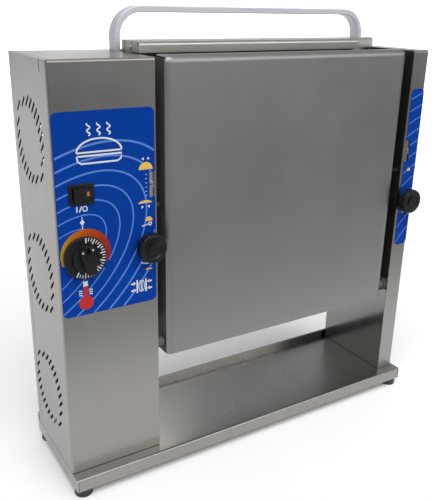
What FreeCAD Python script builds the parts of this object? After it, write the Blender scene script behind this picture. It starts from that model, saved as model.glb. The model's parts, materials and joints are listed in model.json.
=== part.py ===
# Slim vertical contact toaster for buns, in millimetres.
# +Z is up, the front faces -Y and +X is to the right.
# Origin: on the floor, midway along the base, at the middle of the towers' depth.
# The dial in front and the cord gland behind reach equally far from it.
import FreeCAD
import Part
import math
import os

Vec = FreeCAD.Vector
X_AXIS = Vec(1, 0, 0)
Y_AXIS = Vec(0, 1, 0)
Z_AXIS = Vec(0, 0, 1)

# ---- driving dimensions -------------------------------------------------------------------
SHEET = 1.2                     # stainless sheet of the towers and covers
TRAY_SHEET = 1.5
TRAY_HALF_X = 287.5
TRAY_FRONT, TRAY_BACK = -86.0, 75.0
TRAY_TOP = 29.0
SKIRT_BOTTOM = 11.0
LIP_TOP = 40.5
TRAY_BEND = 3.0
FOOT_R = 11.8
FOOT_INSET = 11.9

TOWER_TOP = 550.0
TOWER_HALF_Y = 69.0
TOWER_BEND = 3.0
TOWER_RIM = 6.0                 # flange that the shell turns over the top
SHADOW_GAP = 0.8                # groove round the foot of each tower
SIDE_SEAM_Y = 57.2              # line of the lap joint near the back of the side sheet
LEFT_OUT, LEFT_IN = -287.5, -161.0        # faces of the wide control tower
RIGHT_IN, RIGHT_OUT = 254.0, 284.5        # faces of the narrow tower

VENT_Z = (119.0, 286.0, 453.0)            # centres of the three rings of slots
VENT_Y = 6.0
VENT_ROWS = 12
VENT_PITCH = 9.3
VENT_RING_R = 46.0
VENT_LENGTH, VENT_WIDTH = 19.0, 3.8

LABEL_T = 0.5
LABEL_BOTTOM, LABEL_TOP = 252.5, 495.5
LABEL_R = 7.0
LEFT_LABEL_X = (-286.0, -163.0)
RIGHT_LABEL_X = (258.5, 283.5)
WINDOW_Z = 403.5                          # middle of the thickness scale
WINDOW_H = 31.0

SWITCH_X, SWITCH_Z = -256.0, 402.5
BEZEL_W, BEZEL_H = 30.5, 24.5
ROCKER_TILT = 8.0
DIAL_X, DIAL_Z = -256.5, 327.0
DIAL_R = 26.3

CRUSH_X_LEFT, CRUSH_X_RIGHT = -173.0, 270.0
CRUSH_Z = 326.5
KNOB_R, KNOB_T = 18.5, 11.5
KNOB_BACK = -74.0
SLIDE_TRAVEL = 10.0                       # each way
PINION_R = SLIDE_TRAVEL / math.radians(90.0)
PINION_TEETH = 12
CAM_Z, CAM_Y = 370.0, -47.5

FRONT_AXIS_Y, REAR_AXIS_Y = -54.0, 56.0   # roller axes of the two conveyors
DRIVE_Z, IDLER_Z = 182.0, 528.0
ROLLER_R = 9.0
SHAFT_R = 5.0
IDLER_SHAFT_R = 4.0
BELT_GAP, BELT_T = 0.3, 1.2
BELT_X = (-132.0, 225.0)
PLATE_X = (-147.0, 240.0)                 # outer faces of the conveyor side plates
PLATE_T = 2.0
PLATE_Z = (166.5, 547.5)
RUN_FIT = 0.05
TILT_PER_TRAVEL = math.radians(1.0) * (CAM_Z - DRIVE_Z) / SLIDE_TRAVEL

COVER_BOTTOM, COVER_TOP = 166.0, 551.0
COVER_FLANGE = 24.0
COVER_SIDE_R, COVER_TOP_R = 14.0, 8.0
COVER_RETURN = 4.1              # how far the rolled side edges reach back from the face
TAB_INSET = 8.5                 # middle of each lifting tab from the side, outside the width of the bun slots
GUIDE_REACH = 14.6              # how far the front side plates reach past the belt to guide the bun

PLATEN_X = (-150.0, 243.0)
PLATEN_Y = (-19.0, 25.0)
PLATEN_Z = (195.0, 530.0)
ELEMENT_Z = (225.0, 290.0, 355.0, 420.0, 485.0)
ELEMENT_R = 4.8
CAP_X = (-158.0, 251.0)
CAP_Y = (-22.0, 28.0)
CAP_Z = (551.0, 564.0)
CAP_BEND = 4.5
CAP_BEVEL_X, CAP_BEVEL_Y = 188.0, 14.0    # where the front starts to slant, and its depth at the end

HANDLE_TOP = 603.5
HANDLE_Y = (43.0, 62.0)
HANDLE_T = 8.0
HANDLE_R = 37.0
HANDLE_FOOT = 462.0

GEAR_MODULE = 1.25
END_TEETH, IDLER_TEETH = 16, 36
GEAR_X = (-178.0, -170.0)
GEAR_BACKLASH = 0.3
END_GEAR_R = GEAR_MODULE * END_TEETH / 2
IDLER_GEAR_R = GEAR_MODULE * IDLER_TEETH / 2
IDLER_Y = (FRONT_AXIS_Y + END_GEAR_R + IDLER_GEAR_R, REAR_AXIS_Y - END_GEAR_R - IDLER_GEAR_R)
MOTOR_Y = IDLER_Y[0]
MOTOR_Z = DRIVE_Z - END_GEAR_R - IDLER_GEAR_R

os.makedirs("parts", exist_ok=True)


# ---- helpers ------------------------------------------------------------------------------
def box(x0, x1, y0, y1, z0, z1):
    return Part.makeBox(x1 - x0, y1 - y0, z1 - z0, Vec(x0, y0, z0))


def rod_x(x0, x1, y, z, r):
    return Part.makeCylinder(r, x1 - x0, Vec(x0, y, z), X_AXIS)


def rod_y(y0, y1, x, z, r):
    return Part.makeCylinder(r, y1 - y0, Vec(x, y0, z), Y_AXIS)


def rod_z(z0, z1, x, y, r):
    return Part.makeCylinder(r, z1 - z0, Vec(x, y, z0), Z_AXIS)


def cone_y(y0, y1, x, z, r0, r1):
    return Part.makeCone(r0, r1, y1 - y0, Vec(x, y0, z), Y_AXIS)


def fuse(shapes):
    first, rest = shapes[0], shapes[1:]
    return first.fuse(rest).removeSplitter() if rest else first


def cut(shape, tools):
    return shape.cut(tools)


def group(shapes):
    return Part.makeCompound(shapes)


def edges_where(shape, test, along=None):
    """Straight edges whose two end points both pass the test, and that run along an axis if one is given."""
    found = []
    for edge in shape.Edges:
        ends = [v.Point for v in edge.Vertexes]
        if len(ends) != 2 or not all(test(p) for p in ends):
            continue
        if along is None or (ends[1] - ends[0]).cross(along).Length < 0.01:
            found.append(edge)
    return found


def round_edges(shape, radius, test, along=None):
    return shape.makeFillet(radius, edges_where(shape, test, along))


def near(a, b):
    return abs(a - b) < 0.01


def extrude_yz(points, x0, x1):
    """Prism along X from a closed outline of (y, z) points."""
    wire = Part.makePolygon([Vec(x0, y, z) for y, z in points + points[:1]])
    return Part.Face(wire).extrude(Vec(x1 - x0, 0, 0))


def extrude_xz(points, y0, y1):
    """Prism along Y from a closed outline of (x, z) points."""
    wire = Part.makePolygon([Vec(x, y0, z) for x, z in points + points[:1]])
    return Part.Face(wire).extrude(Vec(0, y1 - y0, 0))


def rounded_plate_xz(x0, x1, y0, y1, z0, z1, r):
    plate = box(x0, x1, y0, y1, z0, z1)
    corner = lambda e: near(e.Vertexes[0].X, e.Vertexes[1].X) and near(e.Vertexes[0].Z, e.Vertexes[1].Z)
    return plate.makeFillet(r, [e for e in plate.Edges if corner(e)])


def stadium_x(x0, x1, y, z0, z1, r):
    """Solid slot shape along X: two half rounds of radius r joined by flats."""
    body = box(x0, x1, y - r, y + r, z0, z1)
    return fuse([body, rod_x(x0, x1, y, z0, r), rod_x(x0, x1, y, z1, r)])


def pan_screw(point, direction, head_r=3.6, head_t=2.2, shank_r=1.9, shank_l=6.0):
    """Pan-head screw: the head stands out along the direction, the shank runs the other way."""
    d = Vec(direction)
    head = Part.makeCylinder(head_r, head_t, point, d)
    head = head.makeChamfer(0.6, [e for e in head.Edges if near((e.BoundBox.Center - point).dot(d), head_t)])
    shank = Part.makeCylinder(shank_r, shank_l, point - d * shank_l, d)
    across = d.cross(Z_AXIS if abs(d.z) < 0.5 else X_AXIS)
    up = d.cross(across)
    body = head.fuse(shank)
    for u, v in ((across, up), (up, across)):
        corner = point + d * (head_t - 1.1) - u * 2.2 - v * 0.45
        slot = Part.Face(Part.makePolygon([corner, corner + u * 4.4, corner + u * 4.4 + v * 0.9,
                                           corner + v * 0.9, corner])).extrude(d * 1.5)
        body = body.cut(slot)
    return body


def tooth_half_angle(radius, pitch_r, teeth, backlash):
    """Half width of an involute tooth, as an angle, at a radius."""
    base_r = pitch_r * math.cos(math.radians(20))
    involute = lambda a: math.tan(a) - a
    at = math.acos(min(1.0, base_r / max(radius, base_r)))
    return math.pi / (2 * teeth) - backlash / (2 * pitch_r) + involute(math.radians(20)) - involute(at)


def gear_outline(pitch_r, teeth, module, phase_deg, backlash):
    """Closed outline of a spur gear around the origin, as (u, v) points."""
    root = pitch_r - 1.2 * module
    tip = pitch_r + 0.9 * module
    base = pitch_r * math.cos(math.radians(20))
    start = max(root + 0.05, base)
    steps = [start + (tip - start) * i / 3.0 for i in range(4)]
    radii = [root] + steps
    points = []
    for k in range(teeth):
        middle = math.radians(phase_deg) + 2 * math.pi * k / teeth
        half = [tooth_half_angle(r, pitch_r, teeth, backlash) for r in radii]
        flank = [(r, middle - h) for r, h in zip(radii, half)]
        flank += [(r, middle + h) for r, h in reversed(list(zip(radii, half)))]
        points += [(r * math.cos(a), r * math.sin(a)) for r, a in flank]
    return points


def gear_x(y, z, teeth, phase_deg, bore_r):
    pitch_r = GEAR_MODULE * teeth / 2
    outline = gear_outline(pitch_r, teeth, GEAR_MODULE, phase_deg, GEAR_BACKLASH)
    blank = extrude_yz([(y + u, z + v) for u, v in outline], GEAR_X[0], GEAR_X[1])
    hub_r = bore_r + 2.6
    hub = rod_x(GEAR_X[0], GEAR_X[1] + 3.0, y, z, hub_r)
    body = fuse([blank, hub])
    if teeth > 20:
        for k in range(6):
            a = math.radians(60 * k + 30)
            hole = rod_x(GEAR_X[0] - 1, GEAR_X[1] + 1, y + 14.0 * math.cos(a), z + 14.0 * math.sin(a), 3.6)
            body = body.cut(hole)
    return body.cut(rod_x(GEAR_X[0] - 1, GEAR_X[1] + 4, y, z, bore_r))


def export(name, shape):
    shape.exportStep("parts/" + name + ".step")


# ---- base tray and feet -------------------------------------------------------------------
def base_tray():
    hx, t = TRAY_HALF_X, TRAY_SHEET
    outer = box(-hx, hx, TRAY_FRONT, TRAY_BACK, SKIRT_BOTTOM, TRAY_TOP)
    outer = round_edges(outer, TRAY_BEND, lambda p: near(p.y, TRAY_FRONT) and near(p.z, TRAY_TOP))
    inner = box(-hx + t, hx - t, TRAY_FRONT + t, TRAY_BACK + 1, SKIRT_BOTTOM - 1, TRAY_TOP - t)
    inner = round_edges(inner, TRAY_BEND - t, lambda p: near(p.y, TRAY_FRONT + t) and near(p.z, TRAY_TOP - t))
    pan = outer.cut(inner)
    lip = box(-hx, hx, TRAY_BACK - t, TRAY_BACK, TRAY_TOP - t, LIP_TOP)
    hem = box(-hx, hx, TRAY_BACK - t - 1.4, TRAY_BACK - t, LIP_TOP - 4.0, LIP_TOP)
    front_rim = edges_where(hem, lambda p: near(p.y, TRAY_BACK - t - 1.4) and near(p.z, LIP_TOP))
    hem = hem.makeFillet(0.6, front_rim)
    skirt_return = box(-hx + t, hx - t, TRAY_FRONT + t, TRAY_FRONT + 12, SKIRT_BOTTOM, SKIRT_BOTTOM + t)
    ribs = []
    for y in (-40.0, 30.0):
        channel = box(-hx + t, hx - t, y - 12, y + 12, SKIRT_BOTTOM + 4, TRAY_TOP - t)
        hollow = box(-hx, hx, y - 12 + t, y + 12 - t, SKIRT_BOTTOM + 4 + t, TRAY_TOP - t)
        ribs.append(channel.cut(hollow))
    back_bar = box(-hx + t, hx - t, TRAY_BACK - 12, TRAY_BACK - t, SKIRT_BOTTOM, SKIRT_BOTTOM + t)
    back_web = box(-hx + t, hx - t, TRAY_BACK - t, TRAY_BACK, SKIRT_BOTTOM, TRAY_TOP - t)
    pads = [box(sx * (hx - FOOT_INSET) - 12, sx * (hx - FOOT_INSET) + 12, y - 11, y + 11,
                SKIRT_BOTTOM, SKIRT_BOTTOM + t) for sx in (-1, 1)
            for y in (TRAY_FRONT + FOOT_INSET, TRAY_BACK - FOOT_INSET)]
    pads = [p.common(box(-hx, hx, TRAY_FRONT, TRAY_BACK, 0, TRAY_TOP)) for p in pads]
    tray = fuse([pan, lip, hem, skirt_return, back_bar, back_web] + ribs + pads)
    holes = [rod_z(SKIRT_BOTTOM - 1, SKIRT_BOTTOM + 3, x, y, 3.0) for x, y in foot_places()]
    seam_z = (SKIRT_BOTTOM + 0.5, TRAY_TOP - TRAY_BEND)
    holes += [box(x, x + 0.8, TRAY_FRONT - 1, TRAY_FRONT + 0.9, *seam_z) for x in (-hx + t, hx - t - 0.8)]
    return tray.cut(holes)


def foot_places():
    x = TRAY_HALF_X - FOOT_INSET
    return [(sx * x, y) for sx in (-1, 1) for y in (TRAY_FRONT + FOOT_INSET, TRAY_BACK - FOOT_INSET)]


def feet():
    made = []
    for x, y in foot_places():
        pad = Part.makeCone(FOOT_R, FOOT_R - 0.4, SKIRT_BOTTOM, Vec(x, y, 0), Z_AXIS)
        pad = pad.makeFillet(1.2, [e for e in pad.Edges if near(e.BoundBox.ZMax, 0.0)])
        stud = rod_z(SKIRT_BOTTOM - 0.01, SKIRT_BOTTOM + 8, x, y, 2.9)
        nut = rod_z(SKIRT_BOTTOM + TRAY_SHEET, SKIRT_BOTTOM + TRAY_SHEET + 4, x, y, 5.5)
        made.append(fuse([pad, stud, nut]))
    return group(made)


# ---- towers -------------------------------------------------------------------------------
def tower_shell(x_side, x_inner):
    """Front, outer side and rim of the top, folded from one sheet and open at the inner side and back."""
    x0, x1 = min(x_side, x_inner), max(x_side, x_inner)
    outer = box(x0, x1, -TOWER_HALF_Y, TOWER_HALF_Y, TRAY_TOP, TOWER_TOP)
    front = lambda p: near(p.y, -TOWER_HALF_Y)
    outer = round_edges(outer, TOWER_BEND, lambda p: front(p) and (near(p.x, x_side) or near(p.z, TOWER_TOP)))
    side_in = x_side + SHEET if x_side < x_inner else x_side - SHEET
    a0, a1 = (side_in, x1 + 1) if x_side < x_inner else (x0 - 1, side_in)
    inner = box(a0, a1, -TOWER_HALF_Y + SHEET, TOWER_HALF_Y + 1, TRAY_TOP - 1, TOWER_TOP - SHEET)
    inner = round_edges(inner, TOWER_BEND - SHEET, lambda p: near(p.y, -TOWER_HALF_Y + SHEET)
                        and (near(p.x, side_in) or near(p.z, TOWER_TOP - SHEET)))
    shell = outer.cut(inner)
    rim = TOWER_RIM
    b0 = x_side + rim if x_side < x_inner else x0 - 1
    b1 = x1 + 1 if x_side < x_inner else x_side - rim
    shell = shell.cut(box(b0, b1, -TOWER_HALF_Y + rim, TOWER_HALF_Y + 1, TOWER_TOP - 3, TOWER_TOP + 1))
    inward = 1 if x_side < x_inner else -1
    relief_x = x_side + 0.8 * inward
    shell = shell.cut(box(relief_x - 1.6, relief_x + 1.6, -48.8, -47.2, TOWER_TOP - 14, TOWER_TOP + 1))
    seam_x = sorted((x_side - inward, x_side + 0.5 * inward))
    shell = shell.cut(box(*seam_x, SIDE_SEAM_Y - 0.4, SIDE_SEAM_Y + 0.4, TRAY_TOP - 1, TOWER_TOP + 1))
    rim_x = sorted((x_side - inward, x_side + 0.9 * inward))
    groove_x = sorted((x_inner + inward, x_side + 0.9 * inward))
    foot_z = (TRAY_TOP - 1, TRAY_TOP + SHADOW_GAP)
    shell = shell.cut([box(*rim_x, -TOWER_HALF_Y - 1, TOWER_HALF_Y - 2.0, *foot_z),
                       box(*groove_x, -TOWER_HALF_Y - 1, -TOWER_HALF_Y + 0.9, *foot_z)])
    foot_y = (-TOWER_HALF_Y + SHEET, -TOWER_HALF_Y + SHEET + 9)
    foot = box(min(side_in, x_inner), max(side_in, x_inner), foot_y[0], foot_y[1], TRAY_TOP, TRAY_TOP + SHEET)
    shrink = SHEET + 0.4
    foot = foot.common(box(x0 + SHEET, x1 - shrink, foot_y[0], foot_y[1], TRAY_TOP, TRAY_TOP + SHEET))
    return fuse([shell, foot])


def vent_slot(y, z):
    """One slot through the outer side sheet, sloping down towards the back at 45 degrees."""
    half = (VENT_LENGTH - VENT_WIDTH) / 2
    x0, x1 = LEFT_OUT - 1, LEFT_OUT + SHEET + 1
    slot = stadium_x(x0, x1, y, z - half, z + half, VENT_WIDTH / 2)
    slot.rotate(Vec(0, y, z), X_AXIS, 45)
    return slot


def vent_ring(z_middle):
    """Parallel sloping slots set out in rows so that their middles lie on a circle."""
    slots = []
    lean = math.radians(45)
    for row in range(VENT_ROWS):
        along = (row - (VENT_ROWS - 1) / 2) * VENT_PITCH
        spread = math.sqrt(max(0.0, VENT_RING_R ** 2 - along ** 2))
        for side in ((0,) if spread == 0 else (-1, 1)):
            y = VENT_Y + along * math.cos(lean) - side * spread * math.sin(lean)
            z = z_middle + along * math.sin(lean) + side * spread * math.cos(lean)
            slots.append(vent_slot(y, z))
    return slots


def window_x(knob_x):
    """Width of the thickness scale's window beside a crush knob."""
    near_side, far_side = 2.7, 9.0
    if knob_x < 0:
        return knob_x + near_side, knob_x + far_side
    return knob_x - far_side, knob_x - near_side


def front_window(knob_x):
    x0, x1 = window_x(knob_x)
    return box(x0, x1, -TOWER_HALF_Y - 2, -TOWER_HALF_Y + SHEET + 1,
               WINDOW_Z - WINDOW_H / 2, WINDOW_Z + WINDOW_H / 2)


def panel_hole(x, z, r):
    return rod_y(-TOWER_HALF_Y - 2, -TOWER_HALF_Y + SHEET + 1, x, z, r)


def left_tower_shell():
    shell = tower_shell(LEFT_OUT, LEFT_IN)
    cuts = [s for z in VENT_Z for s in vent_ring(z)]
    cuts += [front_window(CRUSH_X_LEFT), panel_hole(CRUSH_X_LEFT, CRUSH_Z, 6.0)]
    cuts.append(panel_hole(DIAL_X, DIAL_Z, 5.0))
    cuts.append(box(SWITCH_X - 13, SWITCH_X + 13, -TOWER_HALF_Y - 2, -TOWER_HALF_Y + 3,
                    SWITCH_Z - 10, SWITCH_Z + 10))
    return shell.cut(cuts)


def right_tower_shell():
    shell = tower_shell(RIGHT_OUT, RIGHT_IN)
    return shell.cut([front_window(CRUSH_X_RIGHT), panel_hole(CRUSH_X_RIGHT, CRUSH_Z, 6.0)])


def tower_top(x_side, x_inner):
    """Top plate set inside the rim with a narrow seam, with a fold down at the back."""
    inset = TOWER_RIM + 0.9
    x0 = x_side + inset if x_side < x_inner else x_inner
    x1 = x_inner if x_side < x_inner else x_side - inset
    plate = box(x0, x1, -TOWER_HALF_Y + inset, TOWER_HALF_Y - SHEET - 0.1, TOWER_TOP - SHEET, TOWER_TOP)
    fold = box(x0 + 2, x1 - 2, TOWER_HALF_Y - 2 * SHEET - 0.1, TOWER_HALF_Y - SHEET - 0.1,
               TOWER_TOP - 12, TOWER_TOP - SHEET)
    return fuse([plate, fold])


def inner_wall(x_face, inward, knob_x):
    """Tower wall that faces the bun space: it carries the shaft bearings and the guide studs of the slide."""
    x0, x1 = sorted((x_face, x_face - inward * SHEET))
    z1 = TOWER_TOP - SHEET
    wall = box(x0, x1, -TOWER_HALF_Y + SHEET, TOWER_HALF_Y - SHEET - 0.1, TRAY_TOP, z1)
    top_front = lambda p: near(p.y, -TOWER_HALF_Y + SHEET) and near(p.z, z1)
    wall = round_edges(wall, TOWER_BEND - SHEET + 0.1, top_front)
    foot0, foot1 = sorted((x_face - inward * SHEET, x_face - inward * 11))
    foot = box(foot0, foot1, -40, 40, TRAY_TOP, TRAY_TOP + SHEET)
    foot = foot.cut([rod_z(TRAY_TOP - 1, TRAY_TOP + 3, x_face - inward * 6.5, y, 1.9) for y in (-25.0, 25.0)])
    studs = []
    plate0, plate1 = slide_x(knob_x)
    tip = plate0 - 1.5 if inward > 0 else plate1 + 1.5
    for z in (308.0, 398.0):
        s0, s1 = sorted((x_face - inward * SHEET, tip))
        studs.append(rod_x(s0, s1, SLIDE_GUIDE_Y, z, 2.0))
    wall = fuse([wall, foot] + studs)
    holes = [rod_x(x0 - 1, x1 + 1, y, DRIVE_Z, 9.0) for y in (FRONT_AXIS_Y, REAR_AXIS_Y)]
    swing = math.radians(1.0) * (CAM_Z - DRIVE_Z)
    slot = box(x0 - 1, x1 + 1, CAM_Y - swing, CAM_Y + swing, CAM_Z - 3.8, CAM_Z + 3.8)
    slot = slot.fuse([rod_x(x0 - 1, x1 + 1, y, CAM_Z, 3.8) for y in (CAM_Y - swing, CAM_Y + swing)])
    holes.append(slot)
    groove_x = sorted((x_face + inward, x_face - 0.8 * inward))
    holes.append(box(*groove_x, -TOWER_HALF_Y, TOWER_HALF_Y, TRAY_TOP - 1, TRAY_TOP + SHADOW_GAP))
    holes += [rod_x(x0 - 1, x1 + 1, PLATEN_MID_Y, z, ELEMENT_R + 1.0) for z in ELEMENT_Z]
    holes += [rod_x(x0 - 1, x1 + 1, PLATEN_MID_Y, BULB_Z, 4.0)]
    return wall.cut(holes)


def rear_panel(x0, x1, gland):
    """Back sheet with narrow side folds; the wide one also has louvre slots and the cord hole."""
    y0, y1 = TOWER_HALF_Y - SHEET, TOWER_HALF_Y
    panel = box(x0, x1, y0, y1, TRAY_TOP + 12, TOWER_TOP - SHEET - 0.1)
    cuts = []
    if gland:
        for z in (430.0, 300.0, 170.0):
            for k in range(6):
                zz = z + (k - 2.5) * 11
                cuts.append(box(x0 + 28, x1 - 28, y0 - 1, y1 + 1, zz - 1.8, zz + 1.8))
        cuts.append(rod_y(y0 - 1, y1 + 1, GLAND_X, GLAND_Z, GLAND_R))
    cuts += [rod_y(y0 - 1, y1 + 1, x, z, 1.9) for x, z in rear_screw_places(x0, x1)]
    return panel.cut(cuts)


def rear_screw_places(x0, x1):
    xs = (x0 + 10, x1 - 10) if x1 - x0 > 60 else ((x0 + x1) / 2,)
    return [(x, z) for x in xs for z in (60.0, 290.0, 520.0)]


def panel_screws():
    made = []
    for x0, x1 in (LEFT_BACK_X, RIGHT_BACK_X):
        made += [pan_screw(Vec(x, TOWER_HALF_Y, z), Y_AXIS) for x, z in rear_screw_places(x0, x1)]
    for y in (-25.0, 25.0):
        for x in (LEFT_IN - 6.5, RIGHT_IN + 6.5):
            made.append(pan_screw(Vec(x, y, TRAY_TOP + SHEET), Z_AXIS, shank_l=1.1))
    return group(made + cap_screws())


SLIDE_GUIDE_Y = -38.0
PLATEN_MID_Y = (PLATEN_Y[0] + PLATEN_Y[1]) / 2
BULB_Z = 387.5
GLAND_X, GLAND_Z, GLAND_R = -225.0, 75.0, 11.0
LEFT_BACK_X = (LEFT_OUT + SHEET + 0.1, LEFT_IN)
RIGHT_BACK_X = (RIGHT_IN, RIGHT_OUT - SHEET - 0.1)


# ---- labels and controls ------------------------------------------------------------------
def label(x0, x1, knob_x, holes):
    y1 = -TOWER_HALF_Y
    plate = rounded_plate_xz(x0, x1, y1 - LABEL_T, y1, LABEL_BOTTOM, LABEL_TOP, LABEL_R)
    w0, w1 = window_x(knob_x)
    reach = x1 + 1 if knob_x < 0 else x0 - 1
    n0, n1 = sorted((w0 if knob_x < 0 else w1, reach))
    notch = box(n0, n1, y1 - 2, y1 + 1, WINDOW_Z - WINDOW_H / 2, WINDOW_Z + WINDOW_H / 2)
    return plate.cut([notch] + holes)


def left_label():
    holes = [panel_hole(CRUSH_X_LEFT, CRUSH_Z, 6.0), panel_hole(DIAL_X, DIAL_Z, 6.0)]
    holes.append(box(SWITCH_X - 13, SWITCH_X + 13, -TOWER_HALF_Y - 2, -TOWER_HALF_Y + 1,
                     SWITCH_Z - 10, SWITCH_Z + 10))
    return label(LEFT_LABEL_X[0], LEFT_LABEL_X[1], CRUSH_X_LEFT, holes)


def right_label():
    return label(RIGHT_LABEL_X[0], RIGHT_LABEL_X[1], CRUSH_X_RIGHT, [panel_hole(CRUSH_X_RIGHT, CRUSH_Z, 6.0)])


FACE_Y = -TOWER_HALF_Y - LABEL_T


def switch_bezel():
    frame = rounded_plate_xz(SWITCH_X - BEZEL_W / 2, SWITCH_X + BEZEL_W / 2, FACE_Y - 2.2, FACE_Y,
                             SWITCH_Z - BEZEL_H / 2, SWITCH_Z + BEZEL_H / 2, 2.0)
    rim_y = FACE_Y - 2.2
    rim = [e for e in frame.Edges if near(e.BoundBox.YMin, rim_y) and near(e.BoundBox.YMax, rim_y)]
    frame = frame.makeChamfer(0.8, rim)
    housing = box(SWITCH_X - 12.7, SWITCH_X + 12.7, FACE_Y, -46.0, SWITCH_Z - 9.7, SWITCH_Z + 9.7)
    blades = []
    for dx in (-8, 0, 8):
        for dz in (-5, 5):
            x, z = SWITCH_X + dx, SWITCH_Z + dz
            blades.append(box(x - 0.4, x + 0.4, -46.0, -38.0, z - 3, z + 3))
    body = fuse([frame, housing] + blades)
    well = box(SWITCH_X - 11.5, SWITCH_X + 11.5, FACE_Y - 3, -57.0, SWITCH_Z - 8.2, SWITCH_Z + 8.2)
    return body.cut(well)


def rocker():
    """Paddle that rocks about a vertical axis, stored in its off position."""
    y = ROCKER_Y
    outline = [(-10.8, 0.0), (-10.8, -5.6), (-5.0, -4.9), (0.0, -4.4), (5.0, -4.9), (10.8, -5.6), (10.8, 0.0),
               (5.0, 4.5), (-5.0, 4.5)]
    wire = Part.makePolygon([Vec(SWITCH_X + u, y + v, SWITCH_Z - 7.8) for u, v in outline + outline[:1]])
    paddle = Part.Face(wire).extrude(Vec(0, 0, 15.6))
    seat = box(SWITCH_X + 5.2, SWITCH_X + 8.8, y - 7, y - 2.6, SWITCH_Z - 2.6, SWITCH_Z + 2.6)
    paddle = paddle.cut(seat)
    paddle.rotate(Vec(SWITCH_X, y, SWITCH_Z), Z_AXIS, ROCKER_TILT)
    return paddle


def pilot_lens():
    y = ROCKER_Y
    lens = box(SWITCH_X + 5.2, SWITCH_X + 8.8, y - 5.7, y - 2.6, SWITCH_Z - 2.6, SWITCH_Z + 2.6)
    lens = round_edges(lens, 0.5, lambda p: near(p.y, y - 5.7))
    lens.rotate(Vec(SWITCH_X, y, SWITCH_Z), Z_AXIS, ROCKER_TILT)
    return lens


ROCKER_Y = FACE_Y + 2.0


def thermostat_body():
    back = -TOWER_HALF_Y + SHEET
    case = box(DIAL_X - 21, DIAL_X + 21, back + 0.1, back + 34, DIAL_Z - 17, DIAL_Z + 17)
    case = round_edges(case, 3.0, lambda p: near(p.y, back + 34))
    tabs = [box(DIAL_X + s * 17 - 3, DIAL_X + s * 17 + 3, back + 34, back + 42, DIAL_Z - 0.5, DIAL_Z + 0.5)
            for s in (-1, 1)]
    nose = rod_y(FACE_Y, back + 0.1, DIAL_X, DIAL_Z, 4.9)
    body = fuse([case, nose] + tabs)
    return body.cut(rod_y(FACE_Y - 1, back + 12, DIAL_X, DIAL_Z, 3.05))


def thermostat_dial():
    """Dial: thin scale flange, low hub and a tapered finger bar that leans left at the top."""
    face = FACE_Y - 0.8
    flange_front, hub_front, bar_front = face - 4.8, face - 10.5, face - 20.0
    flange = cone_y(flange_front, face, DIAL_X, DIAL_Z, DIAL_R, DIAL_R - 0.8)
    flange = flange.makeFillet(0.8, [e for e in flange.Edges if near(e.BoundBox.YMax, flange_front)])
    hub = cone_y(hub_front, flange_front, DIAL_X, DIAL_Z, 15.5, 17.0)
    hub = hub.makeFillet(1.2, [e for e in hub.Edges if near(e.BoundBox.YMax, hub_front)])
    outline = [(-8.5, 16.0), (-5.4, -17.0), (5.4, -17.0), (8.5, 16.0)]
    bar = extrude_xz([(DIAL_X + u, DIAL_Z + v) for u, v in outline], bar_front, flange_front + 0.5)
    upright = [e for e in bar.Edges if not near(e.BoundBox.YMin, e.BoundBox.YMax)]
    bar = bar.makeFillet(3.0, upright)
    bar = bar.makeFillet(1.4, [e for e in bar.Edges if near(e.BoundBox.YMax, bar_front)])
    notch = box(DIAL_X - 3.0, DIAL_X + 3.0, bar_front - 1, bar_front + 5.0, DIAL_Z + 10.0, DIAL_Z + 17.0)
    bar = bar.cut(notch)
    bar.rotate(Vec(DIAL_X, 0, DIAL_Z), Y_AXIS, -10)
    spindle = rod_y(face - 1, -TOWER_HALF_Y + SHEET + 10, DIAL_X, DIAL_Z, 3.0)
    return fuse([flange, hub, bar, spindle])


def thermostat_capillary():
    """Sensing bulb in the platen and the thin tube that leads back to the thermostat."""
    r = 1.0
    y_mid, z_mid = PLATEN_MID_Y, BULB_Z
    end_x = PLATEN_X[0] + 4
    bulb = rod_x(end_x, PLATEN_X[0] + 92, y_mid, z_mid, 3.0)
    points = [Vec(end_x + 2, y_mid, z_mid), Vec(-196, y_mid, z_mid), Vec(-226, -10, z_mid - 8),
              Vec(-240, -22, DIAL_Z + 22), Vec(DIAL_X + 10, -29, DIAL_Z + 6),
              Vec(DIAL_X + 10, -33.7, DIAL_Z + 6)]
    pieces = [bulb]
    for a, b in zip(points, points[1:]):
        pieces.append(Part.makeCylinder(r, (b - a).Length, a, b - a))
    for p in points[1:-1]:
        pieces.append(Part.makeSphere(1.02 * r, p))
    return fuse(pieces)


# ---- crush adjusters ----------------------------------------------------------------------
def crush_knob(x):
    """Round lobed knob with a stepped face."""
    z, back = CRUSH_Z, KNOB_BACK
    body = rod_y(back - KNOB_T, back, x, z, KNOB_R)
    body = body.makeFillet(2.4, [e for e in body.Edges if near(e.BoundBox.YMax, back - KNOB_T)])
    lobes = []
    count = 18
    for k in range(count):
        a = 2 * math.pi * k / count
        lobes.append(rod_y(back - KNOB_T - 1, back + 1, x + (KNOB_R + 1.2) * math.cos(a),
                           z + (KNOB_R + 1.2) * math.sin(a), 2.2))
    body = body.cut(lobes)
    collar = rod_y(back, back + 2.0, x, z, 9.0)
    recess = cone_y(back - KNOB_T - 0.1, back - KNOB_T + 1.6, x, z, 13.0, 11.0)
    boss = rod_y(back - KNOB_T - 0.4, back - KNOB_T + 2.0, x, z, 7.0)
    knob = fuse([body.cut(recess), collar, boss])
    return knob.cut(rod_y(back - 7.0, back + 3, x, z, 4.0))


def crush_shaft(x):
    """Knob shaft with the pinion that drives the slide."""
    shaft = rod_y(KNOB_BACK - 7.0, -46.0, x, CRUSH_Z, 4.0)
    side = 0.0 if x < 0 else 180.0
    module = 2 * PINION_R / PINION_TEETH
    outline = gear_outline(PINION_R, PINION_TEETH, module * 0.8, side, 0.5)
    pinion = extrude_xz([(x + u, CRUSH_Z + v) for u, v in outline], -59.0, -50.0)
    return fuse([pinion, shaft])


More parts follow.
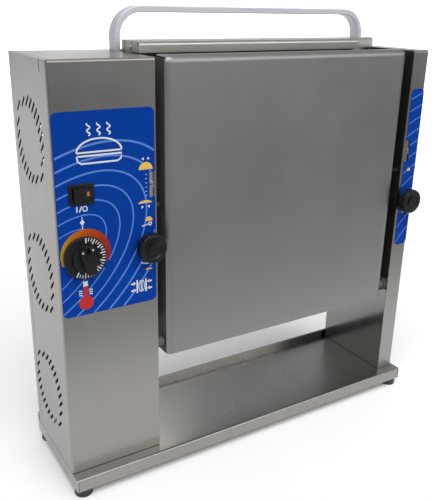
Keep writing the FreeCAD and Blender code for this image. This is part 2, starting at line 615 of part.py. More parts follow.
def slide_x(knob_x):
    """Thickness span of the slide plate beside the pinion."""
    inner, outer = PINION_R + 1.3, PINION_R + 4.3
    return (knob_x + inner, knob_x + outer) if knob_x < 0 else (knob_x - outer, knob_x - inner)


def crush_slide(knob_x):
    """Sliding plate: rack for the pinion, sloping cam slot for the conveyor's pin and the scale's pointer."""
    x0, x1 = slide_x(knob_x)
    side = 1 if knob_x < 0 else -1
    plate = box(x0, x1, -64.0, -30.0, 296.0, 412.0)
    pitch = 2 * math.pi * PINION_R / PINION_TEETH
    module = pitch / math.pi
    pitch_x = knob_x + side * PINION_R
    base_x = x0 if side > 0 else x1
    tip_x = pitch_x - side * 0.55 * module
    teeth = []
    for k in range(-4, 5):
        z = CRUSH_Z + (k + 0.5) * pitch
        wide = pitch / 4 + (abs(base_x - pitch_x)) * math.tan(math.radians(20)) - 0.2
        slim = pitch / 4 - 0.55 * module * math.tan(math.radians(20)) - 0.2
        tooth = [(base_x, z - wide), (tip_x, z - slim), (tip_x, z + slim), (base_x, z + wide)]
        teeth.append(extrude_xz(tooth, -58.5, -50.5))
    pointer_x = sorted((window_x(knob_x)[0] + 0.7, window_x(knob_x)[1] - 0.7))
    p0, p1 = min(pointer_x[0], x0), max(pointer_x[1], x1)
    neck = box(p0, p1, -67.0, -62.0, WINDOW_Z - 4, WINDOW_Z + 4)
    tongue = box(pointer_x[0], pointer_x[1], -68.9, -67.0, WINDOW_Z - 3.5, WINDOW_Z + 3.5)
    flag_x = (min(pointer_x[0] - 1.2, x0), max(pointer_x[1] + 1.2, x1))
    flag = box(*flag_x, -66.9, -65.7, WINDOW_Z - 27, WINDOW_Z + 27)
    body = fuse([plate, neck, tongue, flag] + teeth)
    lean = math.atan(TILT_PER_TRAVEL)
    half = (SLIDE_TRAVEL + 1.0) / math.cos(lean)
    cam = stadium_x(x0 - 1, x1 + 1, CAM_Y, CAM_Z - half, CAM_Z + half, 3.25)
    cam.rotate(Vec(0, CAM_Y, CAM_Z), X_AXIS, -math.degrees(lean))
    guides = [stadium_x(x0 - 1, x1 + 1, SLIDE_GUIDE_Y, z - SLIDE_TRAVEL - 0.5, z + SLIDE_TRAVEL + 0.5, 2.3)
              for z in (308.0, 398.0)]
    guides = [g.common(box(x0 - 2, x1 + 2, -80, 0, 200, 500)) for g in guides]
    return body.cut([cam] + guides)


def crush_bushings():
    made = []
    for x in (CRUSH_X_LEFT, CRUSH_X_RIGHT):
        sleeve = rod_y(FACE_Y - 1.5, -60.0, x, CRUSH_Z, 5.9)
        flange = rod_y(FACE_Y - 1.5, FACE_Y, x, CRUSH_Z, 8.0)
        nut = Part.Face(Part.makePolygon([Vec(x + 8 * math.sin(math.radians(60 * k)), -TOWER_HALF_Y + SHEET,
                                              CRUSH_Z + 8 * math.cos(math.radians(60 * k)))
                                          for k in range(7)])).extrude(Vec(0, 4, 0))
        made.append(fuse([sleeve, flange, nut]).cut(rod_y(FACE_Y - 3, -50, x, CRUSH_Z, 4.0 + RUN_FIT)))
    return group(made)


# ---- handle -------------------------------------------------------------------------------
def handle_profile(inset, r):
    """Upside-down U outline, as a solid, shrunk by an inset."""
    x0, x1 = LEFT_IN + inset, RIGHT_IN - inset
    z1 = HANDLE_TOP - inset
    block = box(x0, x1, HANDLE_Y[0], HANDLE_Y[1], HANDLE_FOOT - (1 if inset else 0), z1)
    corner = lambda e: near(e.BoundBox.ZMin, z1) and near(e.BoundBox.XMin, e.BoundBox.XMax)
    return block.makeFillet(r, [e for e in block.Edges if corner(e)])


def carry_handle():
    loop = handle_profile(0.0, HANDLE_R).cut(handle_profile(HANDLE_T, HANDLE_R - HANDLE_T))
    soft = []
    for e in loop.Edges:
        b = e.BoundBox
        flat = near(b.YMin, b.YMax)
        on_face = near(b.YMin, HANDLE_Y[0]) or near(b.YMin, HANDLE_Y[1])
        if flat and on_face and b.ZMax > HANDLE_FOOT + 1:
            soft.append(e)
    loop = loop.makeFillet(1.2, soft)
    holes = [rod_x(LEFT_IN - 1, RIGHT_IN + 1, HANDLE_BOLT_Y, z, 3.1) for z in HANDLE_BOLT_Z]
    return loop.cut(holes)


HANDLE_BOLT_Y = (HANDLE_Y[0] + HANDLE_Y[1]) / 2
HANDLE_BOLT_Z = (478.0, 520.0)


def handle_bolts():
    made = []
    for z in HANDLE_BOLT_Z:
        for x, d in ((LEFT_IN + HANDLE_T, 1), (RIGHT_IN - HANDLE_T, -1)):
            made.append(pan_screw(Vec(x, HANDLE_BOLT_Y, z), X_AXIS * d, head_r=5.0, head_t=3.0,
                                  shank_r=3.0, shank_l=HANDLE_T - 0.1))
    return group(made)


# ---- heated platen ------------------------------------------------------------------------
def platen():
    body = box(PLATEN_X[0], PLATEN_X[1], PLATEN_Y[0], PLATEN_Y[1], PLATEN_Z[0], PLATEN_Z[1])
    body = round_edges(body, 6.0, lambda p: near(p.z, PLATEN_Z[1]), X_AXIS)
    bores = [rod_x(PLATEN_X[0] - 1, PLATEN_X[1] + 1, PLATEN_MID_Y, z, ELEMENT_R + 0.1) for z in ELEMENT_Z]
    bores.append(rod_x(PLATEN_X[0] - 1, PLATEN_X[0] + 100, PLATEN_MID_Y, BULB_Z, 3.2))
    return body.cut(bores)


def heating_elements():
    made = []
    for z in ELEMENT_Z:
        rod = rod_x(LEFT_IN - 6, PLATEN_X[1] - 6, PLATEN_MID_Y, z, ELEMENT_R)
        pins = [rod_x(LEFT_IN - 24, LEFT_IN - 6, PLATEN_MID_Y + s * 2.2, z, 1.2) for s in (-1, 1)]
        made.append(fuse([rod] + pins))
    return group(made)


def platen_end_blocks():
    made = []
    for x0, x1 in ((LEFT_IN, PLATEN_X[0]), (PLATEN_X[1], RIGHT_IN)):
        block = box(x0, x1, PLATEN_Y[0] + 5, PLATEN_Y[1] - 5, PLATEN_Z[0] + 5, PLATEN_Z[1] - 8)
        bores = [rod_x(x0 - 1, x1 + 1, PLATEN_MID_Y, z, ELEMENT_R + 0.6) for z in ELEMENT_Z]
        bores.append(rod_x(x0 - 1, x1 + 1, PLATEN_MID_Y, BULB_Z, 3.6))
        made.append(block.cut(bores))
    return group(made)


def release_sheet():
    """Thin non-stick sheet draped over the platen, front and back."""
    x0, x1 = PLATEN_X[0] + 10, PLATEN_X[1] - 10

    def drape(grow):
        block = box(x0, x1, PLATEN_Y[0] - grow, PLATEN_Y[1] + grow, PLATEN_Z[0] + 5, PLATEN_Z[1] + grow)
        top = PLATEN_Z[1] + grow
        return round_edges(block, 6.0 + grow, lambda p: near(p.z, top), X_AXIS)

    return drape(0.6).cut(drape(0.1).fuse(box(x0 - 1, x1 + 1, PLATEN_Y[0] - 0.1, PLATEN_Y[1] + 0.1,
                                              PLATEN_Z[0], PLATEN_Z[0] + 50)))


def cap_outline(inset, overrun):
    """Cap seen from above, drawn in by the inset; its open ends run past the cap by the overrun."""
    (x0, x1), (y0, y1) = CAP_X, CAP_Y
    slope = (CAP_BEVEL_Y - y0) / (x1 - CAP_BEVEL_X)
    lift = inset * math.hypot(1.0, slope)
    bevel_x = CAP_BEVEL_X + (inset - lift) / slope
    end_y = CAP_BEVEL_Y + lift + slope * overrun
    return [(x0 - overrun, y0 + inset), (bevel_x, y0 + inset), (x1 + overrun, end_y),
            (x1 + overrun, y1 - inset), (x0 - overrun, y1 - inset)]


def cap_block(inset, overrun, z0, z1, bend):
    points = cap_outline(inset, overrun)
    wire = Part.makePolygon([Vec(x, y, z0) for x, y in points + points[:1]])
    block = Part.Face(wire).extrude(Vec(0, 0, z1 - z0))
    front = points[:3]
    on_front = lambda p: near(p.z, z1) and any(near(p.x, x) and near(p.y, y) for x, y in front)
    return round_edges(block, bend, on_front)


def platen_cap():
    """Folded channel over the platen, slanted at its right end: the bun slots run along its long sides."""
    x0, x1 = CAP_X
    y0, y1 = CAP_Y
    z0, z1 = CAP_Z
    hollow = cap_block(SHEET, 1.0, z0 - 1, z1 - SHEET, CAP_BEND - SHEET)
    skin = cap_block(0.0, 0.0, z0, z1, CAP_BEND).cut(hollow)
    tabs = [box(x0, x0 + SHEET, a, b, z0, z1 - CAP_BEND) for a, b in ((y0 + 0.2, -1.0), (20.0, y1 - 0.2))]
    upper = ((y0 + CAP_BEND, -1.0), (20.0, y1 - 0.2))
    tabs += [box(x0, x0 + SHEET, a, b, z1 - CAP_BEND, z1 - 0.2) for a, b in upper]
    holes = [rod_z(z1 - 3, z1 + 1, x, y, 2.2) for x, y in ((x0 + 16, 10.0), (x1 - 16, 20.0))]
    return fuse([skin] + tabs).cut(holes)


BRACKET_Y = {1: (0.5, 18.5), -1: (19.5, 25.5)}    # span of the left and the right bracket
BRACKET_REACH = 3.2                               # from the tower wall to the upright inside the cap


def cap_brackets():
    """Angle brackets from the tower walls up into the ends of the cap."""
    made = []
    z0, z1 = CAP_Z
    for x_wall, s in ((LEFT_IN, 1), (RIGHT_IN, -1)):
        y0, y1 = BRACKET_Y[s]
        a0, a1 = sorted((x_wall, x_wall + s * 1.5))
        up = box(a0, a1, y0, y1, 524, z0 - 2)
        b0, b1 = sorted((x_wall, x_wall + s * (BRACKET_REACH + 1.5)))
        shelf = box(b0, b1, y0, y1, z0 - 3.5, z0 - 2)
        c0, c1 = sorted((x_wall + s * BRACKET_REACH, x_wall + s * (BRACKET_REACH + 1.5)))
        rise = box(c0, c1, y0, y1, z0 - 3.5, z1 - SHEET)
        d0, d1 = sorted((x_wall + s * BRACKET_REACH, x_wall + s * 28))
        ledge = box(d0, d1, y0, y1, z1 - SHEET - 1.5, z1 - SHEET)
        made.append(fuse([up, shelf, rise, ledge]))
    holes = [rod_x(point.x - 4, point.x + 4, point.y, point.z, 2.0) for point, _ in cap_screw_places()]
    return group([bracket.cut(holes) for bracket in made])


def cap_screw_places():
    """Seat and outward direction of each screw: one in the left end of the cap, and one at each wall."""
    places = [(Vec(LEFT_IN + BRACKET_REACH, 5.2, CAP_Z[0] + 4.8), X_AXIS * -1)]
    for x_wall, s in ((LEFT_IN, 1), (RIGHT_IN, -1)):
        places.append((Vec(x_wall + s * 1.5, sum(BRACKET_Y[s]) / 2, 534), X_AXIS * s))
    return places


def cap_screws():
    return [pan_screw(point, outward, head_r=3.0, shank_l=1.4) for point, outward in cap_screw_places()]


# ---- conveyors ----------------------------------------------------------------------------
def drive_roller(y):
    left_end, right_end = GEAR_X[0] - 3, RIGHT_IN + 6
    shaft = rod_x(left_end, right_end, y, DRIVE_Z, SHAFT_R)
    drum = rod_x(BELT_X[0] - 3, BELT_X[1] + 3, y, DRIVE_Z, ROLLER_R)
    return fuse([shaft, drum])


def idler_roller(y):
    shaft = rod_x(PLATE_X[0] + 0.2, PLATE_X[1] - 0.2, y, IDLER_Z, IDLER_SHAFT_R)
    drum = rod_x(BELT_X[0] - 3, BELT_X[1] + 3, y, IDLER_Z, ROLLER_R)
    return fuse([shaft, drum])


def belt(y):
    r0 = ROLLER_R + BELT_GAP
    outer = stadium_x(BELT_X[0], BELT_X[1], y, DRIVE_Z, IDLER_Z, r0 + BELT_T)
    inner = stadium_x(BELT_X[0] - 1, BELT_X[1] + 1, y, DRIVE_Z, IDLER_Z, r0)
    return outer.cut(inner)


def side_plate(x0, x1, y_axis, facing, pivot_r, reach=0.0):
    """Conveyor side plate: from just behind the cover to the belt's working face, or past it by the reach."""
    ys = sorted((y_axis - facing * (10.4 + reach), facing * (TOWER_HALF_Y - 5.0)))
    plate = box(x0, x1, ys[0], ys[1], PLATE_Z[0], PLATE_Z[1])
    places = ((DRIVE_Z, pivot_r), (IDLER_Z, IDLER_SHAFT_R + RUN_FIT))
    holes = [rod_x(x0 - 1, x1 + 1, y_axis, z, r) for z, r in places]
    if facing > 0:
        holes += [rod_x(x0 - 1, x1 + 1, y_axis + 2.0, z, 4.0) for z in BAR_Z]
    return plate.cut(holes)


BAR_Z = (250.0, 340.0, 430.0)


def cross_bars(y, x0, x1):
    return [rod_x(x0, x1, y, z, 4.0) for z in BAR_Z]


def pressure_plate(y_axis, inward):
    """Backing plate inside the belt loop that presses the belt's working run flat."""
    face = y_axis + inward * (ROLLER_R + BELT_GAP - 0.5)
    a, b = sorted((face, face - inward * 2.0))
    plate = box(PLATE_X[0] + PLATE_T, PLATE_X[1] - PLATE_T, a, b, DRIVE_Z + 14, IDLER_Z - 14)
    c, d = sorted((face - inward * 2.0, face - inward * 6.0))
    lip_x = (PLATE_X[0] + PLATE_T, PLATE_X[1] - PLATE_T)
    lips = [box(*lip_x, c, d, z, z + 1.5) for z in (DRIVE_Z + 14, IDLER_Z - 15.5)]
    return fuse([plate] + lips)


def cam_pins():
    left = rod_x(slide_x(CRUSH_X_LEFT)[0] - 2, PLATE_X[0], CAM_Y, CAM_Z, 3.0)
    right = rod_x(PLATE_X[1], slide_x(CRUSH_X_RIGHT)[1] + 2, CAM_Y, CAM_Z, 3.0)
    return [left, right]


def front_cross_bars():
    bars = cross_bars(FRONT_AXIS_Y - 2.0, PLATE_X[0] + PLATE_T, PLATE_X[1] - PLATE_T)
    return group(bars + cam_pins())


def rear_cross_bars():
    return group(cross_bars(REAR_AXIS_Y + 2.0, LEFT_IN, RIGHT_IN))


def rolled_block(x0, x1, y_face, y_back, z0, z1, side_r, top_r):
    """Block whose side edges and top edge on the face are rounded, with a different radius each."""
    block = box(x0, x1, *sorted((y_face, y_back)), z0, z1)
    block = round_edges(block, side_r, lambda p: near(p.y, y_face), Z_AXIS)
    rim = []
    for e in block.Edges:
        b = e.BoundBox
        flat = near(b.ZMin, z1) and near(b.ZMax, z1)
        if flat and abs(b.Center.y - y_face) < side_r and not near(b.XLength, 0.0):
            rim.append(e)
    return block.makeFillet(top_r, rim)


def conveyor_cover(facing):
    """Outer cover of a conveyor: softly rolled side edges and a deep top flange that hooks over the frame."""
    face = facing * TOWER_HALF_Y
    back = face - facing * COVER_FLANGE
    roll = COVER_SIDE_R - math.sqrt(COVER_SIDE_R ** 2 - (COVER_SIDE_R - COVER_RETURN) ** 2)
    x0, x1 = PLATE_X[0] - roll, PLATE_X[1] + roll
    outer = rolled_block(x0, x1, face, back, COVER_BOTTOM, COVER_TOP, COVER_SIDE_R, COVER_TOP_R)
    inner = rolled_block(x0 + SHEET, x1 - SHEET, face - facing * SHEET, back - facing * 1.0, COVER_BOTTOM - 1,
                         COVER_TOP - SHEET, COVER_SIDE_R - SHEET, COVER_TOP_R - SHEET)
    s0, s1 = sorted((face - facing * COVER_RETURN, back - facing * 1.0))
    ends = [(x0 - 1, PLATE_X[0], COVER_TOP + 1), (PLATE_X[1], x1 + 1, COVER_TOP + 1),
            (x0 - 1, PLATE_X[0] + 2.5, COVER_TOP - 2.0), (PLATE_X[1] - 2.5, x1 + 1, COVER_TOP - 2.0)]
    skin = outer.cut(inner).cut([box(a, b, s0, s1, COVER_BOTTOM - 1, top) for a, b, top in ends])
    h0, h1 = sorted((back, back + facing * 1.0))
    hook = box(PLATE_X[0] + 12, PLATE_X[1] - 12, h0, h1, COVER_TOP - 5.0, COVER_TOP - SHEET)
    tabs = [box(x - 7, x + 7, *sorted((back, back - facing * 3.0)), COVER_TOP - SHEET, COVER_TOP)
            for x in (PLATE_X[0] + TAB_INSET, PLATE_X[1] - TAB_INSET)]
    return fuse([skin, hook] + tabs)


# ---- drive --------------------------------------------------------------------------------
def shaft_bearings():
    """Flanged bearings in the tower walls, each with a sleeve over the shaft up to the side plate."""
    made = []
    for y in (FRONT_AXIS_Y, REAR_AXIS_Y):
        for x, s in ((LEFT_IN, 1), (RIGHT_IN, -1)):
            a0, a1 = sorted((x - s * 5.0, x + s * 2.0))
            f0, f1 = sorted((x, x + s * 2.0))
            c0, c1 = sorted((x, x + s * 12.5))
            steps = ((a0, a1, 9.0), (f0, f1, 11.0), (c0, c1, 8.0))
            body = fuse([rod_x(low, high, y, DRIVE_Z, r) for low, high, r in steps])
            made.append(body.cut(rod_x(min(a0, c0) - 1, max(a1, c1) + 1, y, DRIVE_Z, SHAFT_R + RUN_FIT)))
    return group(made)


def idler_gear_studs():
    made = []
    for y in IDLER_Y:
        stud = rod_x(GEAR_X[0] - 1.5, LEFT_IN - SHEET, y, DRIVE_Z, 4.0)
        head = rod_x(GEAR_X[0] - 3.0, GEAR_X[0] - 1.0, y, DRIVE_Z, 6.0)
        collar = rod_x(GEAR_X[1] + 4.0, LEFT_IN - SHEET, y, DRIVE_Z, 6.0)
        made.append(fuse([stud, head, collar]))
    return group(made)


def motor_pinion():
    gear = gear_x(MOTOR_Y, MOTOR_Z, END_TEETH, 0.0, 4.0)
    shaft = rod_x(-190.0, GEAR_X[1] + 3.0, MOTOR_Y, MOTOR_Z, 4.0)
    return fuse([gear, shaft])


def gearmotor():
    gearbox = box(-226.0, -184.0, MOTOR_Y - 25, MOTOR_Y + 25, MOTOR_Z - 32, MOTOR_Z + 18)
    gearbox = gearbox.makeFillet(4.0, edges_where(gearbox, lambda p: near(p.x, -226.0)))
    motor = rod_x(-281.0, -226.0, MOTOR_Y, MOTOR_Z - 12, 23.0)
    cap_end = rod_x(-284.0, -281.0, MOTOR_Y, MOTOR_Z - 12, 17.0)
    ribs = [rod_x(-276.0 + 8 * k, -273.0 + 8 * k, MOTOR_Y, MOTOR_Z - 12, 24.5) for k in range(6)]
    body = fuse([gearbox, motor, cap_end] + ribs)
    return body.cut(rod_x(-192.0, -180.0, MOTOR_Y, MOTOR_Z, 4.3))


def motor_bracket():
    plate = box(-184.0, -182.0, MOTOR_Y - 32, MOTOR_Y + 36, MOTOR_Z - 50, MOTOR_Z + 16)
    posts = [rod_x(-182.0, LEFT_IN - SHEET, MOTOR_Y + dy, MOTOR_Z + dz, 4.0)
             for dy, dz in ((-26, -44), (30, -44), (-26, -12), (30, -12))]
    return fuse([plate] + posts).cut(rod_x(-186, -180, MOTOR_Y, MOTOR_Z, 7.0))


def cord_gland():
    """Round strain-relief bush in the back of the wide tower, where the supply lead would enter."""
    y = TOWER_HALF_Y
    reach = 20.0 - FACE_Y + 0.8
    flange = rod_y(y, y + 4.0, GLAND_X, GLAND_Z, GLAND_R + 4)
    flange = flange.makeFillet(1.2, [e for e in flange.Edges if near(e.BoundBox.YMin, y + 4.0)])
    neck = rod_y(y - 9.0, y, GLAND_X, GLAND_Z, GLAND_R - 0.05)
    nose = cone_y(y + 4.0, reach, GLAND_X, GLAND_Z, GLAND_R - 1, 7.5)
    return fuse([flange, neck, nose]).cut(rod_y(y - 10, reach + 1, GLAND_X, GLAND_Z, 5.0))


# ---- write one file per node --------------------------------------------------------------
NODES = {
    "base_tray": base_tray(),
    "feet": feet(),
    "left_tower_shell": left_tower_shell(),
    "left_tower_top": tower_top(LEFT_OUT, LEFT_IN),
    "left_inner_wall": inner_wall(LEFT_IN, 1, CRUSH_X_LEFT),
    "left_rear_panel": rear_panel(LEFT_BACK_X[0], LEFT_BACK_X[1], True),
    "right_tower_shell": right_tower_shell(),
    "right_tower_top": tower_top(RIGHT_OUT, RIGHT_IN),
    "right_inner_wall": inner_wall(RIGHT_IN, -1, CRUSH_X_RIGHT),
    "right_rear_panel": rear_panel(RIGHT_BACK_X[0], RIGHT_BACK_X[1], False),
    "panel_screws": panel_screws(),
    "left_label": left_label(),
    "right_label": right_label(),
    "switch_bezel": switch_bezel(),
    "rocker": rocker(),
    "pilot_lens": pilot_lens(),
    "thermostat_body": thermostat_body(),
    "thermostat_capillary": thermostat_capillary(),
    "thermostat_dial": thermostat_dial(),
    "crush_knob_left": crush_knob(CRUSH_X_LEFT),
    "crush_knob_right": crush_knob(CRUSH_X_RIGHT),
    "crush_shaft_left": crush_shaft(CRUSH_X_LEFT),
    "crush_shaft_right": crush_shaft(CRUSH_X_RIGHT),
    "crush_slide_left": crush_slide(CRUSH_X_LEFT),
    "crush_slide_right": crush_slide(CRUSH_X_RIGHT),
    "crush_bushings": crush_bushings(),
    "carry_handle": carry_handle(),
    "handle_bolts": handle_bolts(),
    "platen": platen(),
    "heating_elements": heating_elements(),
    "platen_end_blocks": platen_end_blocks(),
    "release_sheet": release_sheet(),
    "platen_cap": platen_cap(),
    "cap_brackets": cap_brackets(),
    "shaft_bearings": shaft_bearings(),
    "front_drive_roller": drive_roller(FRONT_AXIS_Y),
    "front_drive_gear": gear_x(FRONT_AXIS_Y, DRIVE_Z, END_TEETH, 0.0, SHAFT_R),
    "rear_drive_roller": drive_roller(REAR_AXIS_Y),
    "rear_drive_gear": gear_x(REAR_AXIS_Y, DRIVE_Z, END_TEETH, 11.25, SHAFT_R),
    "idler_gear_front": gear_x(IDLER_Y[0], DRIVE_Z, IDLER_TEETH, 5.0, 4.0 + RUN_FIT),
    "idler_gear_rear": gear_x(IDLER_Y[1], DRIVE_Z, IDLER_TEETH, 0.0, 4.0 + RUN_FIT),
    "idler_gear_studs": idler_gear_studs(),
    "motor_pinion": motor_pinion(),
    "gearmotor": gearmotor(),
    "motor_bracket": motor_bracket(),
    "front_side_plate_left": side_plate(PLATE_X[0], PLATE_X[0] + PLATE_T, FRONT_AXIS_Y, -1, SHAFT_R + RUN_FIT,
                                        GUIDE_REACH),
    "front_side_plate_right": side_plate(PLATE_X[1] - PLATE_T, PLATE_X[1], FRONT_AXIS_Y, -1,
                                         SHAFT_R + RUN_FIT, GUIDE_REACH),
    "front_cross_bars": front_cross_bars(),
    "front_pressure_plate": pressure_plate(FRONT_AXIS_Y, 1),
    "front_belt": belt(FRONT_AXIS_Y),
    "front_idler_roller": idler_roller(FRONT_AXIS_Y),
    "front_cover": conveyor_cover(-1),
    "rear_side_plate_left": side_plate(PLATE_X[0], PLATE_X[0] + PLATE_T, REAR_AXIS_Y, 1, SHAFT_R + 0.4),
    "rear_side_plate_right": side_plate(PLATE_X[1] - PLATE_T, PLATE_X[1], REAR_AXIS_Y, 1, SHAFT_R + 0.4),
    "rear_cross_bars": rear_cross_bars(),
    "rear_pressure_plate": pressure_plate(REAR_AXIS_Y, -1),
    "rear_belt": belt(REAR_AXIS_Y),
    "rear_idler_roller": idler_roller(REAR_AXIS_Y),
    "rear_cover": conveyor_cover(1),
    "cord_gland": cord_gland(),
}

for node_name, node_shape in NODES.items():
    export(node_name, node_shape)
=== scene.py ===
# Slim upright contact toaster: surface materials, printed labels, small fittings, light and camera.
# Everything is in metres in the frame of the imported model: +Z up, the controls face -Y.
import json
import math

import bmesh
import bpy
from mathutils import Matrix, Vector


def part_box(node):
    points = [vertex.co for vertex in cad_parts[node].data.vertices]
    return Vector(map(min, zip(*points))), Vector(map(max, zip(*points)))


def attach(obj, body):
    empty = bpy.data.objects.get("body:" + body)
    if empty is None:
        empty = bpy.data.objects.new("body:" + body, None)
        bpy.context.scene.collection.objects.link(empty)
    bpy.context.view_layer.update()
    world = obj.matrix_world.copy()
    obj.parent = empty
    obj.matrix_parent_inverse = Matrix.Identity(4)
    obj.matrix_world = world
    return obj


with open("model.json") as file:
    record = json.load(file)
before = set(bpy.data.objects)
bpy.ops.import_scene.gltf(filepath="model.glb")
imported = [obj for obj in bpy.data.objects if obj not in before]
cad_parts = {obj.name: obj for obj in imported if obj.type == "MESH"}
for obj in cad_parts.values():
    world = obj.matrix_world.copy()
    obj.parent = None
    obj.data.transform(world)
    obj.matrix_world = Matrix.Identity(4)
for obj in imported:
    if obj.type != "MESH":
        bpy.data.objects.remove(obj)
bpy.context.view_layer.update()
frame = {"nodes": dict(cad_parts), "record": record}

NODES = frame["nodes"]
SLOT_OF = {p["node"]: p["material_slot"] for p in frame["record"]["subparts"]}
MM = 0.001

# ---- camera -----------------------------------------------------------------------------------
CAMERA_PLACE = Vector((-0.5088, -0.7681, 0.6082))
CAMERA_YAW = math.radians(31.97)
CAMERA_PITCH = math.radians(20.34)
CAMERA_ROLL = math.radians(1.20)
CAMERA_LENS = 47.94

# ---- printed label: places in (x, z) ----------------------------------------------------------
INK = 0.05 * MM                      # thickness of one layer of ink
LOOP_CENTRE = (-298 * MM, 314 * MM)  # the contour loops of the left label
LOOP_TURN = math.radians(40.5)
LOOP_COUNT = 8
LOOP_LONG = (25.5 * MM, 20.3 * MM)   # long half-axis of loop n: first value plus n times the second
LOOP_SHORT = (-0.5 * MM, 13.3 * MM)
ARC_CENTRE = (402 * MM, 153 * MM)    # the contour arcs of the right label
ARC_FIRST = 176 * MM
ARC_PITCH = 16.5 * MM
ARC_COUNT = 12
RING_OUTER = 30.9 * MM               # heat scale: its outer edge is off centre, so that it tapers to the left
RING_SHIFT = (2.6 * MM, 2.9 * MM)
RING_FIRST, RING_LAST = -24, 200     # where the heat scale starts and ends, in degrees
DIAL_TICKS = 25
TICK_FIRST, TICK_LAST = 87.0, -119.0
BULB_R = 9.0 * MM                    # radius of the thermometer's bulb
BULB_DROP = 59 * MM                  # how far the bulb's centre is below the middle of the dial
STEM_HALF = 2.9 * MM                 # half the width of the thermometer's stem

# ---- colours ----------------------------------------------------------------------------------
STEEL = (0.332, 0.318, 0.302)
LABEL_BLUE = (0.0008, 0.044, 0.31)
LINE_BLUE = (0.10, 0.22, 0.62)
PRINT_WHITE = (0.72, 0.73, 0.74)
BUN_YELLOW = (0.80, 0.50, 0.10)
BULB_RED = (0.52, 0.03, 0.03)


# ---- node helpers -----------------------------------------------------------------------------
def new_material(name, roughness, metallic=0.0):
    mat = bpy.data.materials.new(name)
    mat.use_nodes = True
    shader = mat.node_tree.nodes["Principled BSDF"]
    shader.inputs["Roughness"].default_value = roughness
    shader.inputs["Metallic"].default_value = metallic
    return mat, mat.node_tree, shader


def stretched_noise(tree, scale, detail=4.0, roughness=0.55):
    """Noise in the part's own coordinates, with its own scale per metre on each axis."""
    coords = tree.nodes.new("ShaderNodeTexCoord")
    mapping = tree.nodes.new("ShaderNodeMapping")
    mapping.inputs["Scale"].default_value = scale
    noise = tree.nodes.new("ShaderNodeTexNoise")
    noise.inputs["Scale"].default_value = 1.0
    noise.inputs["Detail"].default_value = detail
    noise.inputs["Roughness"].default_value = roughness
    tree.links.new(coords.outputs["Object"], mapping.inputs["Vector"])
    tree.links.new(mapping.outputs["Vector"], noise.inputs["Vector"])
    return noise.outputs["Fac"]


def ramp(tree, factor, stops):
    """Colour ramp through (position, (r, g, b)) stops."""
    node = tree.nodes.new("ShaderNodeValToRGB")
    elements = node.color_ramp.elements
    while len(elements) < len(stops):
        elements.new(0.5)
    for element, (position, color) in zip(elements, stops):
        element.position = position
        element.color = (*color, 1.0)
    tree.links.new(factor, node.inputs["Fac"])
    return node.outputs["Color"]


def spread(tree, value, low, high, from_low=0.3, from_high=0.7):
    """Maps the middle of a noise value to a range."""
    node = tree.nodes.new("ShaderNodeMapRange")
    node.inputs["From Min"].default_value = from_low
    node.inputs["From Max"].default_value = from_high
    node.inputs["To Min"].default_value = low
    node.inputs["To Max"].default_value = high
    tree.links.new(value, node.inputs["Value"])
    return node.outputs["Result"]


def multiply(tree, first, second):
    node = tree.nodes.new("ShaderNodeMix")
    node.data_type = "RGBA"
    node.blend_type = "MULTIPLY"
    node.inputs["Factor"].default_value = 1.0
    tree.links.new(first, node.inputs["A"])
    tree.links.new(second, node.inputs["B"])
    return node.outputs["Result"]


def bump(tree, shader, height, distance):
    node = tree.nodes.new("ShaderNodeBump")
    node.inputs["Distance"].default_value = distance
    node.inputs["Strength"].default_value = 1.0
    tree.links.new(height, node.inputs["Height"])
    tree.links.new(node.outputs["Normal"], shader.inputs["Normal"])


def scaled(color, factor):
    return tuple(min(1.0, c * factor) for c in color)


# ---- materials --------------------------------------------------------------------------------
def brushed(name, color, roughness, grain_axis, grain=0.05, smudge=0.05, depth=0.004 * MM):
    """Sheet metal with a straight grain along one axis, and faint broad smudges."""
    mat, tree, shader = new_material(name, roughness, 1.0)
    scale = [2600.0, 2600.0, 2600.0]
    scale["XYZ".index(grain_axis)] = 14.0
    fine = stretched_noise(tree, scale, 3.0)
    broad = stretched_noise(tree, (9.0, 9.0, 7.0), 3.0)
    streaks = ramp(tree, fine, [(0.25, scaled(color, 1 - grain)), (0.75, scaled(color, 1 + grain))])
    smudges = ramp(tree, broad, [(0.3, (1 - smudge,) * 3), (0.7, (1.0, 1.0, 1.0))])
    tree.links.new(multiply(tree, streaks, smudges), shader.inputs["Base Color"])
    rough = spread(tree, broad, roughness - 0.05, roughness + 0.05)
    tree.links.new(rough, shader.inputs["Roughness"])
    bump(tree, shader, fine, depth)
    return mat


def satin_alloy(name, color):
    """Blasted and anodised alloy: soft, pale and almost without a grain."""
    mat, tree, shader = new_material(name, 0.5, 0.45)
    skin = stretched_noise(tree, (1500.0,) * 3, 2.0)
    broad = stretched_noise(tree, (30.0,) * 3, 4.0)
    tone = ramp(tree, broad, [(0.3, scaled(color, 0.95)), (0.7, scaled(color, 1.04))])
    tree.links.new(tone, shader.inputs["Base Color"])
    tree.links.new(spread(tree, broad, 0.44, 0.56), shader.inputs["Roughness"])
    bump(tree, shader, skin, 0.01 * MM)
    return mat


def moulded(name, color, roughness, wear=0.25, pebble=900.0, depth=0.02 * MM, gloss=0.5):
    """Moulded plastic or rubber with a fine pebbled skin and a little dust."""
    mat, tree, shader = new_material(name, roughness)
    shader.inputs["Specular IOR Level"].default_value = gloss
    skin = stretched_noise(tree, (pebble,) * 3, 2.0)
    broad = stretched_noise(tree, (55.0, 55.0, 55.0), 4.0)
    tone = ramp(tree, broad, [(0.35, color), (0.75, scaled(color, 1 + wear))])
    tree.links.new(tone, shader.inputs["Base Color"])
    tree.links.new(spread(tree, broad, roughness - 0.06, roughness + 0.08), shader.inputs["Roughness"])
    bump(tree, shader, skin, depth)
    return mat


